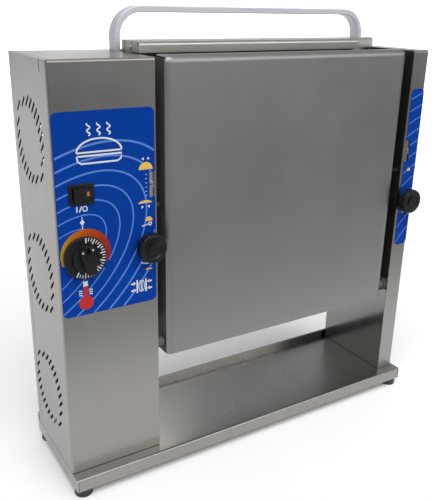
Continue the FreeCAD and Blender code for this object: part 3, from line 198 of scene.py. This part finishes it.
def printed(name, color, roughness=0.5, gloss=0.06):
    """Screen-printed ink with a faint mottle and an orange-peel skin."""
    mat, tree, shader = new_material(name, roughness)
    shader.inputs["Specular IOR Level"].default_value = gloss
    mottle = stretched_noise(tree, (420.0,) * 3, 3.0)
    tone = ramp(tree, mottle, [(0.3, scaled(color, 0.93)), (0.7, scaled(color, 1.05))])
    tree.links.new(tone, shader.inputs["Base Color"])
    tree.links.new(spread(tree, mottle, roughness - 0.05, roughness + 0.05), shader.inputs["Roughness"])
    bump(tree, shader, mottle, 0.006 * MM)
    return mat


def heat_ring(name, x_low, x_high):
    """Ink that runs from yellow through orange to red along X."""
    mat, tree, shader = new_material(name, 0.5)
    shader.inputs["Specular IOR Level"].default_value = 0.06
    coords = tree.nodes.new("ShaderNodeTexCoord")
    parts = tree.nodes.new("ShaderNodeSeparateXYZ")
    tree.links.new(coords.outputs["Object"], parts.inputs["Vector"])
    along = spread(tree, parts.outputs["X"], 0.0, 1.0, x_low, x_high)
    stops = [(0.0, (0.52, 0.32, 0.02)), (0.22, (0.50, 0.17, 0.015)), (0.6, (0.46, 0.07, 0.012)),
             (1.0, (0.30, 0.02, 0.015))]
    mottle = stretched_noise(tree, (420.0,) * 3, 3.0)
    grey = ramp(tree, mottle, [(0.3, (0.92,) * 3), (0.7, (1.0,) * 3)])
    tree.links.new(multiply(tree, ramp(tree, along, stops), grey), shader.inputs["Base Color"])
    bump(tree, shader, mottle, 0.006 * MM)
    return mat


MATERIALS = {
    "tower_steel": brushed("tower_steel", STEEL, 0.30, "Z"),
    "rear_steel": brushed("rear_steel", STEEL, 0.34, "Z"),
    "wall_steel": brushed("wall_steel", (0.46, 0.45, 0.43), 0.13, "Z", 0.03, 0.04),
    "tray_steel": brushed("tray_steel", STEEL, 0.26, "X"),
    "cover_steel": brushed("cover_steel", (0.305, 0.30, 0.30), 0.45, "Z", 0.03, 0.03),
    "cap_steel": brushed("cap_steel", (0.46, 0.46, 0.42), 0.36, "X"),
    "handle_metal": satin_alloy("handle_metal", (0.64, 0.64, 0.70)),
    # frame_black: the dark colour given to the side plates beside the front cover is painted shade of the
    # narrow gaps they stand in.
    "frame_black": moulded("frame_black", (0.085, 0.078, 0.070), 0.45, 0.4),
    "label_blue": printed("label_blue", LABEL_BLUE),
    "control_black": moulded("control_black", (0.007, 0.007, 0.008), 0.36, 0.8, gloss=0.28),
    "pilot_amber": moulded("pilot_amber", (0.32, 0.12, 0.02), 0.2, 0.3),
    "foot_rubber": moulded("foot_rubber", (0.012, 0.012, 0.013), 0.55, 0.8),
    "gland_black": moulded("gland_black", (0.016, 0.016, 0.017), 0.45, 0.8),
    "platen_alloy": brushed("platen_alloy", (0.55, 0.54, 0.52), 0.45, "X", 0.06, 0.15),
    "release_film": moulded("release_film", (0.055, 0.038, 0.024), 0.4, 0.5),
    "belt_silicone": moulded("belt_silicone", (0.10, 0.095, 0.09), 0.55, 0.5),
    "plate_steel": brushed("plate_steel", STEEL, 0.35, "X"),
    "shaft_steel": brushed("shaft_steel", (0.53, 0.52, 0.51), 0.28, "X"),
    "slide_steel": brushed("slide_steel", (0.56, 0.56, 0.55), 0.3, "Z"),
    "gear_steel": brushed("gear_steel", (0.36, 0.36, 0.36), 0.4, "X", 0.08, 0.2),
    "bearing_bronze": brushed("bearing_bronze", (0.30, 0.21, 0.11), 0.4, "X", 0.06, 0.15),
    "end_block_board": moulded("end_block_board", (0.10, 0.092, 0.078), 0.7, 0.15, 500.0, 0.06 * MM),
    "element_sheath": brushed("element_sheath", (0.30, 0.26, 0.22), 0.45, "X", 0.1, 0.3),
    "capillary_copper": brushed("capillary_copper", (0.60, 0.30, 0.16), 0.35, "X", 0.05, 0.2),
    "thermostat_case": brushed("thermostat_case", (0.5, 0.5, 0.5), 0.4, "Z", 0.03, 0.1),
    "motor_paint": moulded("motor_paint", (0.045, 0.048, 0.052), 0.45, 0.4),
    "screw_steel": brushed("screw_steel", (0.6, 0.6, 0.6), 0.25, "Z", 0.03, 0.1),
}

for name, node in NODES.items():
    node.data.materials.clear()
    node.data.materials.append(MATERIALS[SLOT_OF[name]])

INK_WHITE = printed("ink_white", PRINT_WHITE)
INK_LINE = printed("ink_line", LINE_BLUE)
INK_YELLOW = printed("ink_yellow", BUN_YELLOW)
INK_RED = printed("ink_red", BULB_RED)


# ---- geometry helpers -------------------------------------------------------------------------
def add_piece(name, mesh, material, body):
    piece = bpy.data.objects.new(name, mesh)
    bpy.context.scene.collection.objects.link(piece)
    piece.data.materials.append(material)
    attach(piece, body)
    return piece


def mesh_from(name, bm):
    bmesh.ops.recalc_face_normals(bm, faces=bm.faces)
    mesh = bpy.data.meshes.new(name)
    bm.to_mesh(mesh)
    bm.free()
    return mesh


def add_prism(bm, outline, y_back, thickness):
    """Closed plate that faces -Y, from a counter-clockwise outline of (x, z) points."""
    front = [bm.verts.new((x, y_back - thickness, z)) for x, z in outline]
    back = [bm.verts.new((x, y_back, z)) for x, z in outline]
    bm.faces.new(front)
    bm.faces.new(back[::-1])
    count = len(outline)
    for i in range(count):
        j = (i + 1) % count
        bm.faces.new((front[i], back[i], back[j], front[j]))


def add_ribbon(bm, points, width, y_back, thickness, closed=False):
    """Flat band of ink along (x, z) points."""
    count = len(points)
    rows = []
    for i, (x, z) in enumerate(points):
        before = points[(i - 1) % count if closed else max(i - 1, 0)]
        after = points[(i + 1) % count if closed else min(i + 1, count - 1)]
        dx, dz = after[0] - before[0], after[1] - before[1]
        length = math.hypot(dx, dz)
        nx, nz = -dz / length * width / 2, dx / length * width / 2
        y_front = y_back - thickness
        corners = ((x + nx, y_front, z + nz), (x - nx, y_front, z - nz),
                   (x - nx, y_back, z - nz), (x + nx, y_back, z + nz))
        rows.append([bm.verts.new(corner) for corner in corners])
    for i in range(count if closed else count - 1):
        a, b = rows[i], rows[(i + 1) % count]
        for k in range(4):
            m = (k + 1) % 4
            bm.faces.new((a[k], a[m], b[m], b[k]))
    if not closed:
        bm.faces.new(rows[0])
        bm.faces.new(rows[-1][::-1])


def circle(cx, cz, rx, rz, first, last, count):
    """Points of an elliptical arc, angles in degrees."""
    angles = [math.radians(first + (last - first) * i / (count - 1)) for i in range(count)]
    return [(cx + rx * math.cos(a), cz + rz * math.sin(a)) for a in angles]


def inside_plate(x, z, low, high, radius):
    """True inside a rounded rectangle between two corners."""
    if not (low[0] < x < high[0] and low[1] < z < high[1]):
        return False
    cx = min(max(x, low[0] + radius), high[0] - radius)
    cz = min(max(z, low[1] + radius), high[1] - radius)
    return math.hypot(x - cx, z - cz) <= radius


def runs_inside(points, keep):
    """Splits a line of points into the runs that a test keeps."""
    runs = [[]]
    for p in points:
        if keep(*p):
            runs[-1].append(p)
        elif runs[-1]:
            runs.append([])
    return [run for run in runs if len(run) > 3]


# ---- printed contour lines --------------------------------------------------------------------
LEFT_LOW, LEFT_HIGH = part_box("left_label")
RIGHT_LOW, RIGHT_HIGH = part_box("right_label")
DIAL_LOW, DIAL_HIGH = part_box("thermostat_dial")
BEZEL_LOW, BEZEL_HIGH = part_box("switch_bezel")
KNOB_LOW, KNOB_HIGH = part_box("crush_knob_left")
RIGHT_KNOB_LOW, RIGHT_KNOB_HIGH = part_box("crush_knob_right")
LABEL_FACE = LEFT_LOW.y
DIAL_X, DIAL_Z = (DIAL_LOW.x + DIAL_HIGH.x) / 2, (DIAL_LOW.z + DIAL_HIGH.z) / 2
DIAL_R = (DIAL_HIGH.x - DIAL_LOW.x) / 2
RING_X, RING_Z = DIAL_X + RING_SHIFT[0], DIAL_Z + RING_SHIFT[1]
KNOB_X, KNOB_Z = (KNOB_LOW.x + KNOB_HIGH.x) / 2, (KNOB_LOW.z + KNOB_HIGH.z) / 2
RIGHT_KNOB_X = (RIGHT_KNOB_LOW.x + RIGHT_KNOB_HIGH.x) / 2
FLANGE_FACE = LABEL_FACE - 5.6 * MM         # front of the dial's flange
LABEL_EDGE = 0.4 * MM
LABEL_R = 7.0 * MM
NOTCH_LOW, NOTCH_HIGH = 387.0 * MM, 420.0 * MM
NOTCH_W = 9.5 * MM


def on_left_label(x, z):
    """Whether a point is on the left label and outside its notch, the switch and the heat scale."""
    low = (LEFT_LOW.x + LABEL_EDGE, LEFT_LOW.z + LABEL_EDGE)
    high = (LEFT_HIGH.x - LABEL_EDGE, LEFT_HIGH.z - LABEL_EDGE)
    in_notch = x > LEFT_HIGH.x - NOTCH_W and NOTCH_LOW < z < NOTCH_HIGH
    in_switch = BEZEL_LOW.x < x < BEZEL_HIGH.x and BEZEL_LOW.z < z < BEZEL_HIGH.z
    in_ring = math.hypot(x - RING_X, z - RING_Z) < RING_OUTER
    return inside_plate(x, z, low, high, LABEL_R) and not (in_notch or in_switch or in_ring)


def on_right_label(x, z):
    """Whether a point is on the right label and outside its notch."""
    low = (RIGHT_LOW.x + LABEL_EDGE, RIGHT_LOW.z + LABEL_EDGE)
    high = (RIGHT_HIGH.x - LABEL_EDGE, RIGHT_HIGH.z - LABEL_EDGE)
    in_notch = x < RIGHT_LOW.x + NOTCH_W and NOTCH_LOW < z < NOTCH_HIGH
    return inside_plate(x, z, low, high, LABEL_R) and not in_notch


def contour_loops():
    """Nested tilted ovals of the left label, kept to the label and clear of the controls."""
    bm = bmesh.new()
    turn = Matrix.Rotation(LOOP_TURN, 2)
    for n in range(2, LOOP_COUNT + 1):
        long_axis = LOOP_LONG[0] + n * LOOP_LONG[1]
        short_axis = LOOP_SHORT[0] + n * LOOP_SHORT[1]
        points = []
        for x, z in circle(0, 0, long_axis, short_axis, -180, 180, 900):
            x, z = turn @ Vector((x, z))
            points.append((LOOP_CENTRE[0] + x, LOOP_CENTRE[1] + z))
        width = (0.9 + 0.2 * n) * MM
        for run in runs_inside(points, on_left_label):
            add_ribbon(bm, run, width, LABEL_FACE, INK)
    return mesh_from("label_loops", bm)


def contour_arcs():
    """Wide arcs of the right label, which carry on the pattern of the left one."""
    bm = bmesh.new()
    for k in range(ARC_COUNT):
        radius = ARC_FIRST + k * ARC_PITCH
        points = circle(*ARC_CENTRE, radius, radius, 80, 160, 1200)
        for run in runs_inside(points, on_right_label):
            add_ribbon(bm, run, 1.5 * MM, LABEL_FACE, INK)
    return mesh_from("label_arcs", bm)


add_piece("left_label_lines", contour_loops(), INK_LINE, "frame")
add_piece("right_label_lines", contour_arcs(), INK_LINE, "frame")


# ---- printed marks round the controls ---------------------------------------------------------
def add_strokes(bm, strokes, width, y_back, thickness, centre=(0.0, 0.0)):
    """Several lines of ink, their points given in millimetres from a centre."""
    for stroke in strokes:
        points = [(centre[0] + u * MM, centre[1] + v * MM) for u, v in stroke]
        add_ribbon(bm, points, width, y_back, thickness)


def add_shape(bm, outline, y_back, thickness, centre=(0.0, 0.0)):
    """Filled shape of ink, its outline given in millimetres from a centre."""
    add_prism(bm, [(centre[0] + u * MM, centre[1] + v * MM) for u, v in outline], y_back, thickness)


def ring_points(radius_u, radius_v, first=0.0, last=360.0, count=40):
    """Points on an ellipse about the origin, between two directions in degrees."""
    return circle(0.0, 0.0, radius_u, radius_v, first, last, count)


def heat_scale():
    """Crescent behind the dial, thin at the left and broad at the right."""
    bm = bmesh.new()
    outer = circle(RING_X, RING_Z, RING_OUTER, RING_OUTER, RING_FIRST, RING_LAST, 120)
    inner = circle(DIAL_X, DIAL_Z, DIAL_R - MM, DIAL_R - MM, RING_FIRST, RING_LAST, 120)
    y_front, y_back = LABEL_FACE - 2 * INK, LABEL_FACE
    rows = []
    for (x0, z0), (x1, z1) in zip(outer, inner):
        corners = ((x0, y_front, z0), (x1, y_front, z1), (x1, y_back, z1), (x0, y_back, z0))
        rows.append([bm.verts.new(corner) for corner in corners])
    for a, b in zip(rows, rows[1:]):
        for k in range(4):
            m = (k + 1) % 4
            bm.faces.new((a[k], a[m], b[m], b[k]))
    bm.faces.new(rows[0])
    bm.faces.new(rows[-1][::-1])
    return mesh_from("heat_scale", bm)


def dial_ticks():
    """White scale on the dial's flange, on its right side only, and two small white dots at the top corners
    of the finger bar.
    """
    bm = bmesh.new()
    for k in range(DIAL_TICKS):
        angle = math.radians(TICK_FIRST + (TICK_LAST - TICK_FIRST) * k / (DIAL_TICKS - 1))
        reach = 6.4 * MM if k % 3 == 0 else 4.2 * MM
        width = 1.5 * MM if k % 3 == 0 else 1.0 * MM
        start, end = DIAL_R - 1.3 * MM - reach, DIAL_R - 1.3 * MM
        points = [(DIAL_X + r * math.cos(angle), DIAL_Z + r * math.sin(angle)) for r in (start, end)]
        add_ribbon(bm, points, width, FLANGE_FACE, INK)
    lean = math.radians(10)
    for u in (-6.2 * MM, 6.2 * MM):
        v = 13.6 * MM
        x = DIAL_X + u * math.cos(lean) - v * math.sin(lean)
        z = DIAL_Z + u * math.sin(lean) + v * math.cos(lean)
        add_prism(bm, circle(x, z, 1.1 * MM, 1.1 * MM, 0, 330, 12), DIAL_LOW.y, INK)
    return mesh_from("dial_ticks", bm)


def dome(cx, base_z, width, height):
    """Outline of a bun half: flat under, domed above."""
    return circle(cx, base_z, width / 2, height, 0, 180, 28)


def bun_marks():
    """Thick and thin buns at the ends of both crush scales."""
    bm = bmesh.new()
    marks = [(KNOB_X - 2 * MM, NOTCH_HIGH + 2.5 * MM, 18 * MM, 9 * MM),
             (KNOB_X - 3.4 * MM, NOTCH_LOW - 5.5 * MM, 18 * MM, 3.4 * MM),
             (KNOB_X + 1 * MM, KNOB_Z + 32 * MM, 9.5 * MM, 5.6 * MM),
             (KNOB_X, KNOB_Z - 31.5 * MM, 9 * MM, 2.4 * MM),
             (RIGHT_KNOB_X, KNOB_Z + 46 * MM, 7 * MM, 4.5 * MM),
             (RIGHT_KNOB_X - 2 * MM, KNOB_Z - 21 * MM, 7 * MM, 2.0 * MM)]
    for cx, base_z, width, height in marks:
        add_prism(bm, dome(cx, base_z, width, height), LABEL_FACE, 2 * INK)
    return mesh_from("bun_marks", bm)


def thermometer():
    """Red bulb and stem under the dial."""
    bm = bmesh.new()
    bulb_z = DIAL_Z - BULB_DROP
    add_prism(bm, circle(DIAL_X, bulb_z, BULB_R, BULB_R, 0, 354, 60), LABEL_FACE, 3 * INK)
    left, right = DIAL_X - STEM_HALF, DIAL_X + STEM_HALF
    low, high = bulb_z + 5 * MM, DIAL_Z - 37.5 * MM
    outline = [(left, low), (right, low), (right, high), (left, high)]
    add_prism(bm, outline, LABEL_FACE, 2 * INK)
    return mesh_from("thermometer", bm)


def arrow_head(u, v, pointing, size):
    """Triangle whose tip points to the right (+1) or to the left (-1)."""
    return [(u, v - size), (u + pointing * 1.5 * size, v), (u, v + size)][::pointing]


def control_marks():
    """White marks: power sign, pointer of the dial, top of the thermometer, and arrows for the scales."""
    bm = bmesh.new()
    white = dict(y_back=LABEL_FACE, thickness=2 * INK)

    power = (DIAL_X, BEZEL_LOW.z - 5.2 * MM)
    bars = [[(-5.6, -3.4), (-5.6, 3.4)], [(-2.8, -3.4), (0.4, 3.4)]]
    add_strokes(bm, bars, 1.5 * MM, centre=power, **white)
    add_strokes(bm, [[(4.2 + u, v) for u, v in ring_points(2.6, 2.9)]], 1.2 * MM, centre=power, **white)

    pointer = (DIAL_X, DIAL_Z + 42 * MM)
    add_shape(bm, [(-2.9, 0.0), (0.0, -3.9), (2.9, 0.0), (0.0, 3.9)], centre=pointer, **white)
    add_strokes(bm, [[(0.0, -8.0), (0.0, -3.4)], [(0.0, 3.4), (0.0, 6.4)]], 1.1 * MM, centre=pointer, **white)

    stem = (DIAL_X, DIAL_Z - 34.3 * MM)
    add_shape(bm, [(-2.9, -3.2), (2.9, -3.2), (2.9, 3.2), (-2.9, 3.2)], centre=stem, **white)
    dashes = [[(side * 4.4, v), (side * 8.6, v)] for side in (-1, 1) for v in (-14.0, -11.2, -8.4)]
    add_strokes(bm, dashes, 1.3 * MM, centre=stem, **white)

    apart = (KNOB_X - 2 * MM, NOTCH_HIGH + 15.5 * MM)
    together = (KNOB_X - 3 * MM, NOTCH_LOW - 10 * MM)
    for pointing, centre in ((1, apart), (-1, together)):
        for side in (-1, 1):
            start = 2.4 if pointing > 0 else 5.4
            add_shape(bm, arrow_head(side * start, 0.0, side * pointing, 1.9), centre=centre, **white)

    for k in range(6):
        v = NOTCH_LOW + 3.5 * MM + k * (NOTCH_HIGH - NOTCH_LOW - 7 * MM) / 5
        add_strokes(bm, [[(-12.6, 0.0), (-10.6, 0.0)]], 0.6 * MM, centre=(LEFT_HIGH.x, v), **white)

    turn = (KNOB_X - 1.5 * MM, KNOB_Z + 27.6 * MM)
    add_strokes(bm, [[(-7.0, -1.2), (0.8, 0.4)]], 1.3 * MM, centre=turn, **white)
    add_strokes(bm, [[(4.0 + u, 0.8 + v) for u, v in ring_points(1.9, 1.9)]], 1.4 * MM, centre=turn, **white)
    arc = [(u, v) for u, v in ring_points(23.0, 23.0, -118, -84, 16)]
    add_strokes(bm, [arc], 1.6 * MM, centre=(KNOB_X, KNOB_Z), **white)

    squeeze = (KNOB_X - 10.5 * MM, LEFT_LOW.z + 22.5 * MM)
    bars = [[(side * 6.0, -8.6), (side * 6.0, 8.6)] for side in (-1, 1)]
    shafts = [[(side * 14.2, v), (side * 10.6, v)] for side in (-1, 1) for v in (-4.6, 4.6)]
    add_strokes(bm, bars + shafts, 2.0 * MM, centre=squeeze, **white)
    for side in (-1, 1):
        for v in (-4.6, 4.6):
            add_shape(bm, arrow_head(side * 11.2, v, -side, 2.5), centre=squeeze, **white)
    for side in (-1, 1):
        half = [(side * (0.8 + u), v) for v, u in ring_points(7.6, 3.0, 0, 180, 20)]
        add_strokes(bm, [half + half[:1]], 0.9 * MM, centre=squeeze, **white)
    return mesh_from("control_marks", bm)


def bun_sign():
    """Plain sign at the head of the label: a bun in outline under three wavy lines of heat."""
    bm = bmesh.new()
    centre = (LEFT_LOW.x + 54 * MM, LEFT_HIGH.z - 46 * MM)
    white = dict(y_back=LABEL_FACE, thickness=2 * INK, centre=centre)
    crown = ring_points(27.0, 15.0, 0, 180, 50)
    heel = [(-27.0, -4.0), (-26.0, -10.0), (-22.0, -12.5), (22.0, -12.5), (26.0, -10.0), (27.0, -4.0)]
    add_strokes(bm, [crown + crown[:1], heel + heel[:1]], 2.0 * MM, **white)
    for middle in (-12.0, 0.0, 12.0):
        wave = [(middle + 1.9 * math.sin(0.62 * k), 18.5 + 0.72 * k) for k in range(20)]
        add_strokes(bm, [wave], 1.7 * MM, **white)
    return mesh_from("bun_sign", bm)


def scale_pointer(slide_box):
    """Dark line across the tongue of a crush slide."""
    low, high = slide_box
    bm = bmesh.new()
    window_x = LEFT_HIGH.x - 4.6 * MM if high.x < 0 else RIGHT_LOW.x + 5.1 * MM
    z = (NOTCH_LOW + NOTCH_HIGH) / 2
    add_ribbon(bm, [(window_x - 2.2 * MM, z), (window_x + 2.2 * MM, z)], 1.0 * MM, low.y, INK)
    return mesh_from("scale_pointer", bm)


HEAT_INK = heat_ring("heat_ring_ink", RING_X - RING_OUTER, RING_X + RING_OUTER)
POINTER_INK = printed("pointer_ink", (0.012, 0.012, 0.012))
add_piece("dial_heat_scale", heat_scale(), HEAT_INK, "frame")
add_piece("dial_tick_marks", dial_ticks(), INK_WHITE, "thermostat_knob")
add_piece("bun_marks", bun_marks(), INK_YELLOW, "frame")
add_piece("thermometer_mark", thermometer(), INK_RED, "frame")
add_piece("control_marks", control_marks(), INK_WHITE, "frame")
add_piece("bun_sign", bun_sign(), INK_WHITE, "frame")
for side in ("left", "right"):
    line = scale_pointer(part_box("crush_slide_" + side))
    add_piece("scale_pointer_" + side, line, POINTER_INK, "indicator_" + side)


# ---- floor, light and camera ------------------------------------------------------------------
STUDIO_R = 4.2                      # radius of the ring on which the glowing cards stand
FLOOR_R = 14.0
# The floor's fall from pale to grey far in front is painted fall-off of the studio light.
FLOOR_FADE = (-3.2, -0.3)           # Y over which the floor goes from grey to pale
FLOOR_TONES = [(0.0, 0.17), (0.62, 0.29), (0.8, 0.31), (0.91, 0.38), (1.0, 0.95)]
GLOWS = [("backdrop", 0.0, 1.3, 15, 100, 0.78),       # low and high edge, first and last direction, strength
         ("high_card", 2.95, 3.9, 62, 90, 1.3),
         ("ledge_card", 1.9, 3.8, -85, -40, 2.6),
         ("front_card", 0.9, 1.9, -120, -30, 0.72)]


def add_floor():
    """Pale floor whose colour falls off to grey far in front of the part: painted fall-off of the studio
    light.
    """
    bm = bmesh.new()
    bmesh.ops.create_circle(bm, cap_ends=True, segments=96, radius=FLOOR_R)
    floor = bpy.data.objects.new("floor", mesh_from("floor", bm))
    bpy.context.scene.collection.objects.link(floor)
    mat, tree, shader = new_material("floor_pale", 0.7)
    shader.inputs["Specular IOR Level"].default_value = 0.2
    coords = tree.nodes.new("ShaderNodeTexCoord")
    parts = tree.nodes.new("ShaderNodeSeparateXYZ")
    tree.links.new(coords.outputs["Object"], parts.inputs["Vector"])
    ahead = spread(tree, parts.outputs["Y"], 0.0, 1.0, *FLOOR_FADE)
    fall = ramp(tree, ahead, [(position, (tone, tone, tone)) for position, tone in FLOOR_TONES])
    grain = ramp(tree, stretched_noise(tree, (5.0, 5.0, 5.0), 4.0), [(0.3, (0.97,) * 3), (0.7, (1.0,) * 3)])
    tree.links.new(multiply(tree, fall, grain), shader.inputs["Base Color"])
    floor.data.materials.append(mat)


def add_glow(name, low, high, first, last, strength):
    """Glowing arc of studio cloth round the part, between two heights and two directions in degrees."""
    bm = bmesh.new()
    lower, upper = [], []
    for x, y in circle(0, 0, STUDIO_R, STUDIO_R, first, last, 40):
        lower.append(bm.verts.new((x, y, low)))
        upper.append(bm.verts.new((x, y, high)))
    for i in range(len(lower) - 1):
        bm.faces.new((lower[i], lower[i + 1], upper[i + 1], upper[i]))
    wall = bpy.data.objects.new(name, mesh_from(name, bm))
    bpy.context.scene.collection.objects.link(wall)
    mat, tree, shader = new_material(name, 0.9)
    shader.inputs["Base Color"].default_value = (0.8, 0.8, 0.8, 1.0)
    shader.inputs["Emission Color"].default_value = (1.0, 1.0, 1.0, 1.0)
    shader.inputs["Emission Strength"].default_value = strength
    wall.data.materials.append(mat)


def add_sun(name, direction, strength, spread_angle):
    """Soft directional light; the spread angle is in degrees."""
    data = bpy.data.lights.new(name, "SUN")
    data.energy = strength
    data.angle = math.radians(spread_angle)
    light = bpy.data.objects.new(name, data)
    light.rotation_mode = "QUATERNION"
    light.rotation_quaternion = Vector(direction).to_track_quat("-Z", "Y")
    bpy.context.scene.collection.objects.link(light)


def add_camera():
    """Camera that looks along its yaw, measured from +Y towards +X, and down by its pitch."""
    level = math.cos(CAMERA_PITCH)
    forward = Vector((math.sin(CAMERA_YAW) * level, math.cos(CAMERA_YAW) * level, -math.sin(CAMERA_PITCH)))
    right = Vector((math.cos(CAMERA_YAW), -math.sin(CAMERA_YAW), 0.0))
    up = right.cross(forward)
    turned_right = right * math.cos(CAMERA_ROLL) + up * math.sin(CAMERA_ROLL)
    turned_up = up * math.cos(CAMERA_ROLL) - right * math.sin(CAMERA_ROLL)
    data = bpy.data.cameras.new("camera")
    data.lens = CAMERA_LENS
    data.sensor_width = 36.0
    camera = bpy.data.objects.new("camera", data)
    axes = Matrix((turned_right, turned_up, -forward)).transposed()
    camera.matrix_world = Matrix.Translation(CAMERA_PLACE) @ axes.to_4x4()
    bpy.context.scene.collection.objects.link(camera)
    bpy.context.scene.camera = camera


def set_world():
    """Even, slightly cool light from every side."""
    world = bpy.data.worlds.new("studio")
    world.use_nodes = True
    background = world.node_tree.nodes["Background"]
    background.inputs["Color"].default_value = (0.98, 0.99, 1.0, 1.0)
    background.inputs["Strength"].default_value = 0.42
    bpy.context.scene.world = world


add_floor()
for glow in GLOWS:
    add_glow(*glow)
set_world()
bpy.context.scene.view_settings.view_transform = "Standard"
add_sun("overhead", (0.25, 0.45, -1.0), 2.05, 50)
add_camera()
